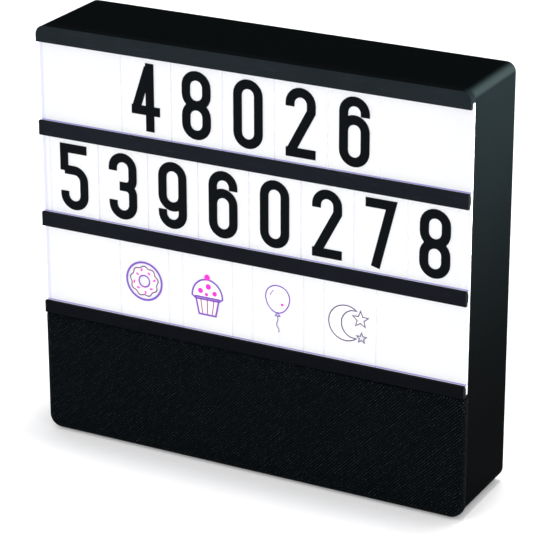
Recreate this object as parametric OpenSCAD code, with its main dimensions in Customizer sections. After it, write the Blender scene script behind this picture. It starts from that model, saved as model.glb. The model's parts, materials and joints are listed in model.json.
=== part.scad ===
// Cinema light box: a lit panel with three rows for loose letter-size tiles,
// over a speaker behind a cloth grille.
// Millimetres. X is the width, the front faces -Y and Z is up. The origin is
// the middle of the footprint, on the surface that the feet stand on.

/* [Casing] */
// Width of the box
box_w = 220; // [210:1:260]
// Depth of the casing, from its front edge to its back face
casing_d = 44.2; // [43:0.1:60]
// Thickness of the casing's walls
wall_t = 2.2; // [1.8:0.1:2.6]
// Radius of the top corners, seen from the front
top_corner_r = 4.5; // [3.5:0.5:7]
// Radius of the bottom corners, seen from the front
bottom_corner_r = 6; // [5:0.5:8]
// Play round the pieces that slide into the casing
slide_play = 0.3; // [0.15:0.05:0.4]
// Thickness of the lugs inside the front edge
lug_t = 3; // [2.6:0.1:4]
// Reach of the lugs in from the side walls
lug_w = 9; // [7:0.5:11]
// Height of the lugs
lug_h = 6; // [5:0.5:8]

/* [Rows] */
// Height of each lit window between two rails
window_h = 38.6; // [34:0.1:50]
// Height of the two middle rails
rail_h = 7; // [6:0.1:9]
// Height of the rail above the grille
base_rail_h = 6; // [5:0.1:8]
// Height of the rail along the top edge
cap_h = 8; // [7:0.1:10]
// Thickness of the rails' lips
lip_t = 1.8; // [1.2:0.1:2.4]
// How far a lip stands past the rail's web
lip_reach = 1.6; // [1:0.1:2]
// How far the top rail's lip hangs below its web
cap_lip_reach = 2.4; // [1.4:0.1:2.8]
// Width of the groove between a lip and the panel
groove_w = 1; // [0.8:0.1:1.6]
// Thickness of the white diffuser panel
panel_t = 1.6; // [1.2:0.1:2.4]
// Thickness of the base rail's ledge under the panel
ledge_t = 1; // [0.8:0.1:1.6]
// Play between the panel and the pieces over and under it
panel_play = 0.2; // [0.1:0.05:0.4]
// Radius of the rails' pegs
peg_r = 1.5; // [1.3:0.1:1.6]
// How far the pegs go into the casing's lugs
peg_depth = 1.6; // [1.2:0.1:1.8]

/* [Tiles] */
// Width of one tile
tile_w = 26.5; // [24:0.1:27]
// Gap between two tiles that stand side by side
tile_gap = 0.1; // [0.05:0.05:0.2]
// Thickness of the tiles' clear film
film_t = 0.4; // [0.2:0.05:0.5]
// Gap between the film and the panel
film_play = 0.2; // [0.1:0.05:0.3]
// Gap between a tile's lower edge and the groove's floor
film_seat = 0.05; // [0.03:0.01:0.1]
// Room above a tile, so that it can be lifted out
lift_room = 1; // [0.6:0.1:1.4]
// Number of tiles in the top row
row_1_count = 5; // [1:1:7]
// Middle of the top row's tiles
row_1_x = 0.4; // [-10:0.1:10]
// Number of tiles in the middle row
row_2_count = 8; // [1:1:8]
// Middle of the middle row's tiles
row_2_x = 0.5; // [-1:0.1:1]
// Middle of the first picture tile in the bottom row
picture_1_x = -55.5; // [-60:0.1:-52]
// Middle of the second picture tile
picture_2_x = -21.6; // [-24:0.1:-18]
// Middle of the third picture tile
picture_3_x = 15.3; // [12:0.1:18]
// Middle of the fourth picture tile
picture_4_x = 52.2; // [48:0.1:60]

/* [Grille] */
// Height of the cloth grille
grille_h = 59.8; // [58:0.1:70]
// Seam between the grille and the rail above it
grille_seam = 0.4; // [0.2:0.1:0.8]
// Radius of the grille's front edges
grille_edge_r = 3; // [2:0.1:3.4]
// Radius of the grille's top corners, seen from the front
grille_top_r = 1.2; // [0.8:0.1:3]
// How much the top edge draws in, as a share of the other edges
grille_top_ease = 0.35; // [0.2:0.05:0.6]
// Thickness of the grille cloth
cloth_t = 0.6; // [0.4:0.1:0.8]
// Width of the slots in the frame behind the cloth
grille_slot_w = 9; // [6:0.5:10]
// Height of those slots
grille_slot_h = 12; // [8:0.5:13]
// Width of the bars between the slots
grille_bar = 3.4; // [3.2:0.1:5]
// Number of slot columns on each side of the middle
grille_columns = 8; // [6:1:8]
// Number of slot rows
grille_rows = 3; // [2:1:3]
// Radius of the pegs that hold the grille to the baffle
grille_peg_r = 1.5; // [1.2:0.1:1.6]
// The bar, counted from the middle, that carries each inner peg
grille_peg_inner = 2; // [1:1:3]
// The bar, counted from the middle, that carries each outer peg
grille_peg_outer = 8; // [7:1:8]

/* [Speakers] */
// Distance of each speaker's axis from the middle
speaker_x = 62; // [60:0.5:70]
// Side of the speaker's square flange
speaker_side = 44; // [42:0.5:48]
// Thickness of the flange
speaker_flange_t = 1.5; // [1.2:0.1:2]
// Distance of the flange's screws from the axis, along X and along Z
speaker_screw_pitch = 18.2; // [18:0.1:18.6]
// Radius of the basket's bore
basket_bore_r = 19; // [18.6:0.1:19.4]
// Depth of the basket behind the flange
basket_d = 10; // [9:0.1:11]
// Thickness of the basket's metal
basket_t = 1; // [0.8:0.1:1.2]
// Radius of the magnet
magnet_r = 14; // [12:0.5:15]
// Thickness of the magnet
magnet_t = 8; // [7:0.1:9]
// Radius of the voice coil
coil_r = 7; // [6:0.1:8]
// Thickness of the voice coil
coil_t = 0.6; // [0.4:0.1:0.8]
// Play on each side of the voice coil in the magnet's gap
coil_play = 0.4; // [0.3:0.05:0.5]
// Depth of the magnet's gap
coil_gap_d = 5; // [4:0.1:6]
// How far the cone moves to each side of rest
cone_travel = 0.8; // [0.4:0.1:1]
// Thickness of the cone's paper
cone_t = 0.6; // [0.4:0.1:0.8]
// Radius of the cone's rim
cone_r = 14.4; // [13.5:0.1:14.6]
// Play between the cone's rim and the rubber surround
cone_play = 0.3; // [0.2:0.05:0.4]
// Thickness of the rubber surround
surround_t = 0.5; // [0.4:0.1:0.6]
// Thickness of the baffle and of its shelf
baffle_t = 2.5; // [2.2:0.1:3]
// Drop of the shelf's top below the base rail
shelf_drop = 0.6; // [0.5:0.1:1]

/* [Light] */
// Depth of the white reflector tray
tray_d = 20; // [18:0.5:22]
// Thickness of the tray's walls
tray_t = 1.2; // [1:0.1:1.6]
// Length of one LED strip
strip_l = 196; // [180:1:200]
// Width of one LED strip
strip_w = 8; // [6:0.5:10]
// Thickness of one LED strip
strip_t = 1; // [0.8:0.1:1.6]
// Number of LEDs on each strip
led_count = 8; // [4:1:10]
// Side of one LED
led_side = 5; // [3:0.5:5.5]
// Height of one LED's body
led_t = 1.6; // [1:0.1:2]
// Radius of one LED's lens
lens_r = 2; // [1:0.1:2.4]

/* [Back cover] */
// Thickness of the back cover
cover_t = 2.2; // [2:0.1:2.6]
// Play between the cover and the casing
cover_play = 0.15; // [0.1:0.05:0.25]
// Radius of the casing's screw bosses
boss_r = 4; // [3.4:0.1:4.5]
// Length of the casing's screw bosses
boss_l = 13; // [9:0.5:14]
// Radius of the pillars that press the tray forward
pillar_r = 3; // [2.5:0.1:4]
// Distance of the pillars from the middle
pillar_x = 80; // [75:1:90]
// Radius of the hanging holes' wide part
hang_r = 4; // [3.5:0.1:4.5]
// Half the width of the hanging holes' slots
hang_slot_r = 2; // [1.6:0.1:2.2]
// Rise of the hanging holes' slots
hang_rise = 7; // [6:0.5:9]
// Distance between the hanging holes
hang_pitch = 120; // [110:1:140]
// Drop of the hanging holes below the box's top
hang_drop = 30; // [26:0.5:40]
// Thickness of the rubber feet
foot_t = 1; // [0.8:0.1:2]
// Radius of the rubber feet
foot_r = 5; // [4:0.5:7]
// Distance of the feet in from the sides
foot_inset_x = 18; // [16:1:30]
// Distance of the feet in from the casing's front edge and from the back
foot_inset_y = 9; // [8:0.5:12]

/* [Controls] */
// Depth of the control recess
recess_d = 1.8; // [1.4:0.1:2.2]
// Thickness of the recess's floor
floor_t = 1.8; // [1.4:0.1:2]
// Width of the control recess
recess_w = 84; // [82:1:90]
// Height of the control recess
recess_h = 38; // [36:1:42]
// Rise of the recess's middle above the shelf
recess_rise = 42; // [38:0.5:60]
// Radius of the recess's corners
recess_r = 4; // [2:0.5:6]
// Rise of the buttons above the recess's middle
button_rise = 9; // [8:0.5:10]
// Distance between two buttons
button_pitch = 15; // [13:0.5:16]
// Radius of a button
button_r = 4.2; // [3.6:0.1:4.6]
// Play round a button in its hole
button_play = 0.1; // [0.08:0.01:0.1]
// How far a button moves when it is pressed
button_travel = 0.5; // [0.3:0.1:0.8]
// How far the controls stay behind the back face
control_sink = 0.3; // [0.2:0.1:0.6]
// Drop of the sockets below the recess's middle
socket_drop = 10; // [8:0.5:11]
// Distance of the side sockets from the middle
socket_x = 24; // [20:0.5:28]
// Radius of the headphone plug's bore
jack_r = 1.8; // [1.75:0.05:1.85]
// Radius of the headphone socket's nose
jack_nose_r = 3; // [2.6:0.1:3.4]
// Width of the charging socket
usb_w = 9; // [8.8:0.1:9.2]
// Height of the charging socket
usb_h = 3.3; // [3.2:0.1:3.4]
// Thickness of the charging socket's shell
usb_t = 0.35; // [0.3:0.05:0.4]
// Depth of the charging socket's mouth
usb_mouth_d = 6.2; // [5:0.1:7]
// Travel of the light switch
switch_travel = 4; // [3:0.5:5]
// Height of the switch's stem
switch_stem = 2; // [1.6:0.1:2.4]
// Play round the sockets and the switch's stem
socket_play = 0.2; // [0.15:0.05:0.3]
// Width of the main board
board_w = 86; // [84:1:90]
// Height of the main board
board_h = 44; // [42:0.5:46]
// Thickness of the main board
board_t = 1.6; // [1.2:0.1:2]
// Distance from the recess's floor to the main board
board_gap = 13; // [12:0.1:13.5]
// Side of a key switch's body
key_side = 6; // [5:0.5:6.5]
// Height of a key switch's body
key_t = 3.5; // [3:0.1:4.5]
// Radius of a key switch's stem
key_stem_r = 1.75; // [1.5:0.05:2]
// Height of a key switch's stem
key_stem_l = 3; // [2:0.1:3.5]

/* [Battery] */
// Radius of one cell
cell_r = 9.1; // [8.5:0.1:9.2]
// Length of one cell
cell_l = 65; // [60:0.5:66]
// Play round the cells
cell_play = 0.1; // [0.05:0.05:0.2]
// Thickness of the holder's walls
holder_t = 1.2; // [1:0.1:1.6]

/* [Fasteners] */
// Radius of a large screw's shank
screw_r = 1.25; // [1:0.05:1.5]
// Radius of a large screw's head
screw_head_r = 2.4; // [2.2:0.1:2.8]
// Radius of a small screw's shank
small_screw_r = 0.9; // [0.7:0.05:0.9]
// Radius of a small screw's head
small_head_r = 1.8; // [1.6:0.1:2]
// Thickness of every screw's head
head_t = 1.2; // [1:0.1:1.4]
// Play between a screw and the bore that it threads into
thread_play = 0.05; // [0.03:0.01:0.08]
// Play between a screw and a hole that it passes through
pass_play = 0.15; // [0.1:0.05:0.2]
// Play round a peg in its hole
peg_play = 0.1; // [0.05:0.05:0.15]
// Play between a screw's head and a wall beside it
head_play = 0.1; // [0.05:0.05:0.15]
// Radius of the leads
lead_r = 0.8; // [0.5:0.1:1]
// Play round a lead where it goes through a wall
lead_play = 0.6; // [0.4:0.1:1]

/* [Hidden] */
$fn = 48;
black = "#15191b";
cut = 1; // how far a cutting shape runs past the face it cuts
drive_reach = 0.55; // length of each arm of a screw's drive, as a share of the head's radius
drive_slot = 0.22; // width of those arms, as a share of the head's radius

// Depths, from the rails' faces to the back
rail_stand = lip_t + groove_w + panel_t;
front_y = -(casing_d + rail_stand) / 2;
groove_y = front_y + lip_t;
panel_y = groove_y + groove_w;
edge_y = panel_y + panel_t;
back_y = edge_y + casing_d;
cover_y = back_y - cover_t;

// Heights, from the floor up
casing_z = foot_t;
grille_top = casing_z + grille_h;
base_rail_z = grille_top + grille_seam;
base_rail_top = base_rail_z + base_rail_h;
lower_rail_z = base_rail_top + window_h;
upper_rail_z = lower_rail_z + rail_h + window_h;
cap_z = upper_rail_z + rail_h + window_h;
casing_top = cap_z + cap_h;

// The inside of the casing
inner_half = box_w / 2 - wall_t;
inner_z = casing_z + wall_t;
inner_top = casing_top - wall_t;
inner_top_r = top_corner_r - wall_t;
inner_bottom_r = bottom_corner_r - wall_t;
lug_x = inner_half - lug_w / 2;
lug_back_y = edge_y + lug_t;

// The panel and the rails' pegs
panel_z = base_rail_z + ledge_t + panel_play;
panel_top = cap_z + cap_lip_reach - panel_play;
base_peg_z = base_rail_z + base_rail_h / 2 + panel_play;
cap_peg_z = inner_top - small_head_r - head_play;
rail_pegs_z = [base_peg_z, lower_rail_z + rail_h / 2, upper_rail_z + rail_h / 2, cap_peg_z];

// The tiles
film_y = panel_y - film_play - film_t;
row_1_z = upper_rail_z + rail_h - lip_reach + film_seat;
row_2_z = lower_rail_z + rail_h - lip_reach + film_seat;
row_3_z = base_rail_top - lip_reach + film_seat;
tile_h = window_h + 2 * lip_reach - film_seat - lift_room;
row_1_h = tile_h + cap_lip_reach - lip_reach;
tile_pitch = tile_w + tile_gap;

// The baffle and its shelf
shelf_top = base_rail_z - shelf_drop;
shelf_z = shelf_top - baffle_t;
chamber_half = inner_half - slide_play;
chamber_z = inner_z + slide_play;
chamber_r = inner_bottom_r - slide_play;
baffle_back_y = edge_y + baffle_t;
baffle_lug_low_z = inner_z + inner_bottom_r + lug_h / 2;
baffle_lug_high_z = shelf_z - lug_h;
baffle_lugs_z = [baffle_lug_low_z, baffle_lug_high_z];
speaker_z = (inner_z + shelf_z) / 2;

// The speaker, from its flange back
flange_y = baffle_back_y;
basket_back_y = flange_y + basket_d;
magnet_y = basket_back_y + basket_t;
magnet_back_y = magnet_y + magnet_t;
surround_r = (cone_r + cone_play + basket_bore_r) / 2;
surround_roll = (basket_bore_r - cone_r - cone_play) / 2 - surround_t / 2;
surround_rim_w = 1.3;
surround_rim_r = basket_bore_r + surround_rim_w;
surround_play = 0.2;
baffle_hole_r = surround_rim_r + surround_play;
cone_depth = 6.5;
dust_cap_d = 1;
basket_hub_w = 2;
basket_vent_w = 10;
basket_vent_d = 5;
basket_vent_gap = 1.6;
coil_end_y = magnet_y + coil_gap_d - cone_travel - coil_play;

// The grille frame's slots
grille_pitch_x = grille_slot_w + grille_bar;
grille_pitch_z = grille_slot_h + grille_bar;
grille_mid_z = casing_z + grille_h / 2;
grille_pegs_x = [
    -grille_peg_outer * grille_pitch_x,
    -grille_peg_inner * grille_pitch_x,
    grille_peg_inner * grille_pitch_x,
    grille_peg_outer * grille_pitch_x
];
grille_peg_reach = (grille_rows / 2 - 1) * grille_pitch_z;
grille_pegs_z = [grille_mid_z - grille_peg_reach, grille_mid_z + grille_peg_reach];

// The reflector tray and its lights
tray_y = lug_back_y;
tray_back_y = tray_y + tray_d;
tray_floor_y = tray_back_y - tray_t;
tray_half = chamber_half;
tray_z = shelf_top + slide_play;
tray_top = inner_top - slide_play;
tray_top_r = inner_top_r - slide_play;
strip_y = tray_floor_y - strip_t;
windows_z = [
    base_rail_top + window_h / 2,
    lower_rail_z + rail_h + window_h / 2,
    upper_rail_z + rail_h + window_h / 2
];
led_pitch = strip_l / led_count;

// The back cover's screws, pillars and hanging holes
boss_sink = 0.6;
boss_low_gap = 1.4;
boss_high_gap = 0.6;
boss_x = inner_half - boss_r + boss_sink;
boss_low_z = inner_z + boss_r + boss_low_gap;
boss_high_z = inner_top - boss_r - boss_high_gap;
bosses_z = [boss_low_z, (boss_low_z + boss_high_z) / 2, boss_high_z];
boss_y = cover_y - boss_l;
boss_bore_l = 10;
pillars_z = [windows_z[0] + window_h / 2, windows_z[1] + window_h / 2 + rail_h];
hang_z = casing_top - hang_drop;

// The control recess, the board behind it and what stands on the board
recess_z = shelf_top + recess_rise;
recess_floor_y = back_y - recess_d;
floor_y = recess_floor_y - floor_t;
board_back_y = floor_y - board_gap;
board_y = board_back_y - board_t;
board_z = recess_z - board_h / 2;
board_boss_r = 3;
board_screw_in_x = 5;
board_screw_in_z = 4;
board_screw_grip = 6;
board_screws_x = [-board_w / 2 + board_screw_in_x, board_w / 2 - board_screw_in_x];
board_screws_z = [board_z + board_screw_in_z, board_z + board_h - board_screw_in_z];
button_z = recess_z + button_rise;
button_face_y = back_y - control_sink;
button_flange_t = 0.8;
button_flange_w = 1;
key_end_y = board_back_y + key_t + key_stem_l;
touch_gap = 0.05;
socket_z = recess_z - socket_drop;
socket_face_y = recess_floor_y - touch_gap;
jack_body = 8;
jack_bottom_t = 1;
usb_tongue_w = 6.6;
usb_tongue_t = 0.7;
switch_body_w = 12;
switch_body_h = 5.6;
switch_body_drop = 3.6;
switch_body_y = floor_y - switch_body_drop;
switch_well_d = 2;
switch_well_play = 0.2;
switch_stem_w = 2.6;
switch_knob_w = 6;
switch_knob_h = 4;
knob_sink = 0.4;
knob_groove_w = 0.5;
knob_groove_d = 0.4;
knob_groove_pitch = 1.4;

// The battery and the leads
holder_y = cover_y - 2 * cell_r - 2 * cell_play - holder_t;
holder_half_w = cell_l / 2 + cell_play + holder_t;
holder_half_h = 2 * cell_r + 1.5 * cell_play + holder_t;
cells_y = cover_y - holder_t - cell_play - cell_r;
power_socket_w = 8;
power_socket_h = 6;
power_socket_d = 6;
power_socket_z = board_z + 1;
lead_y = (tray_back_y + board_y) / 2;
speaker_lead_x = 32;
led_lead_x = -66;
led_feed_in = 8;
lead_stand = 1;

// The parts that stand on the board
radio_x = -24;
radio_w = 14;
radio_h = 9;
radio_t = 2.4;
amplifier_x = 22;
amplifier_side = 8;
amplifier_t = 1.4;
capacitor_x = 12;
capacitor_drop = 2;
capacitor_r = 3;
capacitor_l = 6;

// A front-view outline, drawn in X and Z, carried from depth low to depth high
module along_y(low, high) {
    translate([0, high, 0]) rotate([90, 0, 0]) linear_extrude(high - low) children();
}

// An outline with its own corner radius at the bottom and at the top
module outline(half, low, high, low_r, high_r) {
    translate([-half, low + low_r]) square([2 * half, high - high_r - low - low_r]);
    translate([low_r - half, low]) square([2 * (half - low_r), low_r]);
    translate([high_r - half, high - high_r]) square([2 * (half - high_r), high_r]);
    for (side = [-1, 1]) {
        translate([side * (half - low_r), low + low_r]) circle(low_r);
        translate([side * (half - high_r), high - high_r]) circle(high_r);
    }
}

// An outline with one corner radius
module outline_at(half, low, high, r) {
    outline(half, low, high, r, r);
}

// A block centred on x and z, from depth low to depth high
module block(x, z, w, h, low, high) {
    translate([x - w / 2, low, z - h / 2]) cube([w, high - low, h]);
}

// A round bar or bore along Y
module rod(x, z, r, low, high) {
    translate([x, high, z]) rotate([90, 0, 0]) cylinder(r = r, h = high - low);
}

// A flat bar or slot with round ends, lying along X
module stadium(x, z, w, h, low, high) {
    block(x, z, w - h, h, low, high);
    for (side = [-1, 1]) rod(x + side * (w - h) / 2, z, h / 2, low, high);
}

// A screw along Y, with its head at depth head_y; way is 1 where it drives
// towards the back and -1 where it drives towards the front
module screw(x, z, head_y, way, shank_r, head_r, length) {
    head_low = way > 0 ? head_y - head_t : head_y;
    shank_low = way > 0 ? head_y : head_y - length;
    difference() {
        rod(x, z, head_r, head_low, head_low + head_t);
        drive_low = way > 0 ? head_low - cut : head_low + head_t / 2;
        drive_l = head_r * drive_reach * 2;
        drive_w = head_r * drive_slot;
        for (turn = [0, 90]) {
            translate([x, drive_low, z]) rotate([0, turn, 0]) translate([-drive_l / 2, 0, -drive_w / 2])
                cube([drive_l, cut + head_t / 2, drive_w]);
        }
    }
    rod(x, z, shank_r, shank_low, shank_low + length);
}

// A soft lead through a list of points
module lead(points) {
    for (i = [0 : len(points) - 2]) {
        step = points[i + 1] - points[i];
        run = norm(step);
        turn_y = acos(step[2] / run);
        turn_z = atan2(step[1], step[0]);
        translate(points[i]) rotate([0, turn_y, turn_z]) cylinder(r = lead_r, h = run);
    }
    for (i = [1 : 1 : len(points) - 2]) translate(points[i]) sphere(lead_r);
}

module outer_outline() {
    outline(box_w / 2, casing_z, casing_top, bottom_corner_r, top_corner_r);
}

module casing_shell() {
    difference() {
        along_y(edge_y, back_y) outer_outline();
        along_y(edge_y - cut, back_y + cut)
            outline(inner_half, inner_z, inner_top, inner_bottom_r, inner_top_r);
    }
}

module casing() color(black) {
    difference() {
        union() {
            casing_shell();
            for (side = [-1, 1]) {
                for (z = rail_pegs_z) {
                    intersection() {
                        block(side * (lug_x + wall_t / 2), z, lug_w + wall_t, lug_h, edge_y, lug_back_y);
                        along_y(edge_y, lug_back_y) outer_outline();
                    }
                }
                for (z = baffle_lugs_z) {
                    block(side * (lug_x + wall_t / 2), z, lug_w + wall_t, lug_h,
                        baffle_back_y, baffle_back_y + lug_t);
                }
                for (z = bosses_z) rod(side * boss_x, z, boss_r, boss_y, cover_y);
            }
        }
        for (side = [-1, 1]) {
            for (z = rail_pegs_z) {
                rod(side * lug_x, z, peg_r + peg_play, edge_y - cut, edge_y + peg_depth + peg_play);
                rod(side * lug_x, z, small_screw_r + pass_play, edge_y, lug_back_y + cut);
            }
            for (z = baffle_lugs_z) {
                rod(side * lug_x, z, small_screw_r + thread_play, baffle_back_y - cut,
                    baffle_back_y + lug_t + cut);
            }
            for (z = bosses_z) {
                rod(side * boss_x, z, screw_r + thread_play, cover_y - boss_bore_l, cover_y + cut);
            }
        }
    }
}

module rubber_feet() color("#1b1b1c") {
    for (side = [-1, 1]) {
        for (y = [edge_y + foot_inset_y, back_y - foot_inset_y]) {
            translate([side * (box_w / 2 - foot_inset_x), y, 0]) cylinder(r = foot_r, h = foot_t);
        }
    }
}

// A hanging hole: a wide round hole with a slot above it
module hanging_hole(x) {
    rod(x, hang_z, hang_r, cover_y - cut, back_y + cut);
    block(x, hang_z + hang_rise / 2, 2 * hang_slot_r, hang_rise, cover_y - cut, back_y + cut);
    rod(x, hang_z + hang_rise, hang_slot_r, cover_y - cut, back_y + cut);
}

module back_cover() color(black) {
    cover_half = inner_half - cover_play;
    pan_w = recess_w + 2 * floor_t;
    pan_h = recess_h + 2 * floor_t;
    difference() {
        union() {
            along_y(cover_y, back_y)
                outline(cover_half, inner_z + cover_play, inner_top - cover_play,
                    inner_bottom_r - cover_play, inner_top_r - cover_play);
            block(0, recess_z, pan_w, pan_h, floor_y, cover_y);
            for (side = [-1, 1]) {
                for (z = pillars_z) rod(side * pillar_x, z, pillar_r, tray_back_y, cover_y);
            }
            for (x = board_screws_x) {
                for (z = board_screws_z) rod(x, z, board_boss_r, board_back_y, floor_y);
            }
        }
        along_y(recess_floor_y, back_y + cut)
            outline_at(recess_w / 2, recess_z - recess_h / 2, recess_z + recess_h / 2, recess_r);
        for (side = [-1, 1]) {
            hanging_hole(side * hang_pitch / 2);
            for (z = bosses_z) {
                rod(side * boss_x, z, screw_r + pass_play, cover_y - cut, back_y + cut);
                rod(side * boss_x, z, screw_head_r + pass_play, back_y - head_t, back_y + cut);
            }
        }
        for (x = board_screws_x) {
            for (z = board_screws_z) {
                rod(x, z, small_screw_r + thread_play, board_back_y - cut, floor_y);
            }
        }
        for (i = [-2 : 2]) {
            rod(i * button_pitch, button_z, button_r + button_play, floor_y - cut, back_y);
        }
        rod(0, socket_z, jack_nose_r + socket_play, floor_y - cut, back_y);
        stadium(-socket_x, socket_z, usb_w + 2 * socket_play, usb_h + 2 * socket_play,
            floor_y - cut, back_y);
        block(socket_x - switch_travel / 2, socket_z, switch_stem_w + switch_travel + 2 * socket_play,
            switch_stem + 2 * socket_play, floor_y - cut, back_y);
    }
}

module back_cover_screws() color("#2a2c2e") {
    for (side = [-1, 1]) {
        for (z = bosses_z) {
            screw(side * boss_x, z, back_y - head_t, -1, screw_r, screw_head_r, boss_bore_l);
        }
    }
}

module diffuser_panel() color("white") {
    difference() {
        block(0, (panel_z + panel_top) / 2, box_w, panel_top - panel_z, panel_y, edge_y);
        for (side = [-1, 1]) {
            for (i = [0 : 2]) {
                rod(side * lug_x, rail_pegs_z[i], peg_r + peg_play, panel_y - cut, edge_y + cut);
            }
        }
    }
}

// The two pegs on a rail's back, each with the pilot bore of its screw
module with_pegs(z) {
    difference() {
        union() {
            children();
            for (side = [-1, 1]) rod(side * lug_x, z, peg_r, panel_y, edge_y + peg_depth);
        }
        for (side = [-1, 1]) {
            rod(side * lug_x, z, small_screw_r + thread_play, groove_y, edge_y + peg_depth + cut);
        }
    }
}

module top_rail() color(black) {
    with_pegs(cap_peg_z) {
        intersection() {
            union() {
                block(0, cap_z + cap_h / 2, box_w, cap_h, front_y, groove_y);
                web_z = cap_z + cap_lip_reach;
                block(0, (web_z + casing_top) / 2, box_w, casing_top - web_z, groove_y, edge_y);
            }
            along_y(front_y, edge_y) outer_outline();
        }
    }
}

module middle_rail(z) {
    with_pegs(z + rail_h / 2) {
        block(0, z + rail_h / 2, box_w, rail_h, front_y, groove_y);
        block(0, z + rail_h / 2, box_w, rail_h - 2 * lip_reach, groove_y, panel_y);
    }
}

module upper_rail() color(black) middle_rail(upper_rail_z);

module lower_rail() color(black) middle_rail(lower_rail_z);

module base_rail() color(black) {
    with_pegs(base_peg_z) {
        block(0, base_rail_z + base_rail_h / 2, box_w, base_rail_h, front_y, groove_y);
        web_h = base_rail_h - lip_reach;
        block(0, base_rail_z + web_h / 2, box_w, web_h, groove_y, panel_y);
        block(0, base_rail_z + ledge_t / 2, box_w, ledge_t, panel_y, edge_y);
    }
}

module rail_screws() color("silver") {
    for (side = [-1, 1]) {
        for (z = rail_pegs_z) {
            screw(side * lug_x, z, lug_back_y, -1, small_screw_r, small_head_r, lug_t + panel_t);
        }
    }
}

// One film tile, centred on x, standing on the groove's floor
module tile(x, z, h) {
    block(x, z + h / 2, tile_w, h, film_y, film_y + film_t);
}

module tile_row(count, middle, z, h) {
    first = middle - (count - 1) / 2 * tile_pitch;
    for (i = [0 : count - 1]) tile(first + i * tile_pitch, z, h);
}

module number_tiles_row_1() color("whitesmoke") tile_row(row_1_count, row_1_x, row_1_z, row_1_h);

module number_tiles_row_2() color("whitesmoke") tile_row(row_2_count, row_2_x, row_2_z, tile_h);

module picture_tile_1() color("lavender") tile(picture_1_x, row_3_z, tile_h);

module picture_tile_2() color("lavender") tile(picture_2_x, row_3_z, tile_h);

module picture_tile_3() color("lavender") tile(picture_3_x, row_3_z, tile_h);

module picture_tile_4() color("lavender") tile(picture_4_x, row_3_z, tile_h);

module reflector_tray() color("snow") {
    difference() {
        along_y(tray_y, tray_back_y) outline(tray_half, tray_z, tray_top, tray_t, tray_top_r);
        along_y(tray_y - cut, tray_floor_y)
            outline(tray_half - tray_t, tray_z + tray_t, tray_top - tray_t, tray_t, tray_top_r - tray_t);
        for (z = windows_z) rod(led_lead_x, z, lead_r + lead_play, tray_floor_y - cut, tray_back_y + cut);
        for (side = [-1, 1]) {
            for (z = rail_pegs_z) {
                rod(side * lug_x, z, small_head_r + slide_play, tray_y - cut, tray_y + head_t + slide_play);
            }
        }
    }
}

module led_strip(z) {
    block(0, z, strip_l, strip_w, strip_y, tray_floor_y);
}

module led_strip_top() color("honeydew") led_strip(windows_z[2]);

module led_strip_middle() color("honeydew") led_strip(windows_z[1]);

module led_strip_bottom() color("honeydew") led_strip(windows_z[0]);

module led_chips() color("lightyellow") {
    for (z = windows_z) {
        for (i = [0 : led_count - 1]) {
            x = (i - (led_count - 1) / 2) * led_pitch;
            block(x, z, led_side, led_side, strip_y - led_t, strip_y);
            rod(x, z, lens_r, strip_y - led_t - lens_r / 2, strip_y - led_t);
        }
    }
}

module speaker_baffle() color("#202326") {
    difference() {
        union() {
            along_y(edge_y, baffle_back_y)
                outline(chamber_half, chamber_z, shelf_top, chamber_r, baffle_t / 2);
            block(0, shelf_z + baffle_t / 2, 2 * chamber_half, baffle_t, baffle_t / 2 + edge_y,
                cover_y - slide_play);
        }
        for (side = [-1, 1]) {
            rod(side * speaker_x, speaker_z, baffle_hole_r, edge_y - cut, baffle_back_y + cut);
            for (x = [-1, 1]) {
                for (z = [-1, 1]) {
                    rod(side * speaker_x + x * speaker_screw_pitch, speaker_z + z * speaker_screw_pitch,
                        small_screw_r + thread_play, edge_y + baffle_t / 4, baffle_back_y + cut);
                }
            }
            for (z = baffle_lugs_z) {
                rod(side * lug_x, z, small_screw_r + pass_play, edge_y - cut, baffle_back_y + cut);
                rod(side * lug_x, z, small_head_r + pass_play, edge_y - cut, edge_y + head_t);
            }
        }
        for (x = grille_pegs_x) {
            for (z = grille_pegs_z) {
                rod(x, z, grille_peg_r + peg_play, edge_y - cut, baffle_back_y + cut);
            }
        }
        for (x = [-speaker_lead_x, speaker_lead_x]) {
            translate([x, lead_y, shelf_z - cut]) cylinder(r = lead_r + lead_play, h = baffle_t + 2 * cut);
        }
        translate([0, board_back_y + power_socket_d / 2, shelf_z - cut])
            cylinder(r = lead_r + lead_play, h = baffle_t + 2 * cut);
    }
}

module baffle_screws() color("silver") {
    for (side = [-1, 1]) {
        for (z = baffle_lugs_z) {
            screw(side * lug_x, z, edge_y + head_t, 1, small_screw_r, small_head_r,
                baffle_t - head_t + lug_t);
        }
    }
}

// The grille's outer form, grown inwards by skin and carried back to depth
// back: its front edges are rounded, in rings along a quarter turn
module grille_form(skin, back) {
    steps = 6;
    ring_t = 0.05;
    r = grille_edge_r - skin;
    hull() {
        for (i = [0 : steps - 1]) {
            y = front_y + skin + r * (1 - cos(90 * i / steps));
            along_y(y, y + ring_t) grille_outline(skin + r * (1 - sin(90 * i / steps)));
        }
        along_y(front_y + skin + r, back) grille_outline(skin);
    }
}

// The top edge draws in less than the sides, because it lies under the rail
module grille_outline(inset) {
    outline(box_w / 2 - inset, casing_z + inset, grille_top - inset * grille_top_ease,
        bottom_corner_r - inset, grille_top_r);
}

module grille_frame() color("#1c1f21") {
    difference() {
        grille_form(cloth_t, edge_y, $fn = 32);
        for (row = [0 : grille_rows - 1]) {
            z = grille_mid_z + (row - (grille_rows - 1) / 2) * grille_pitch_z;
            for (column = [0 : grille_columns - 1]) {
                for (side = [-1, 1]) {
                    block(side * (column + 0.5) * grille_pitch_x, z, grille_slot_w, grille_slot_h,
                        front_y - cut, edge_y + cut);
                }
            }
        }
    }
    for (x = grille_pegs_x) {
        for (z = grille_pegs_z) rod(x, z, grille_peg_r, edge_y - cut, baffle_back_y);
    }
}

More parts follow.
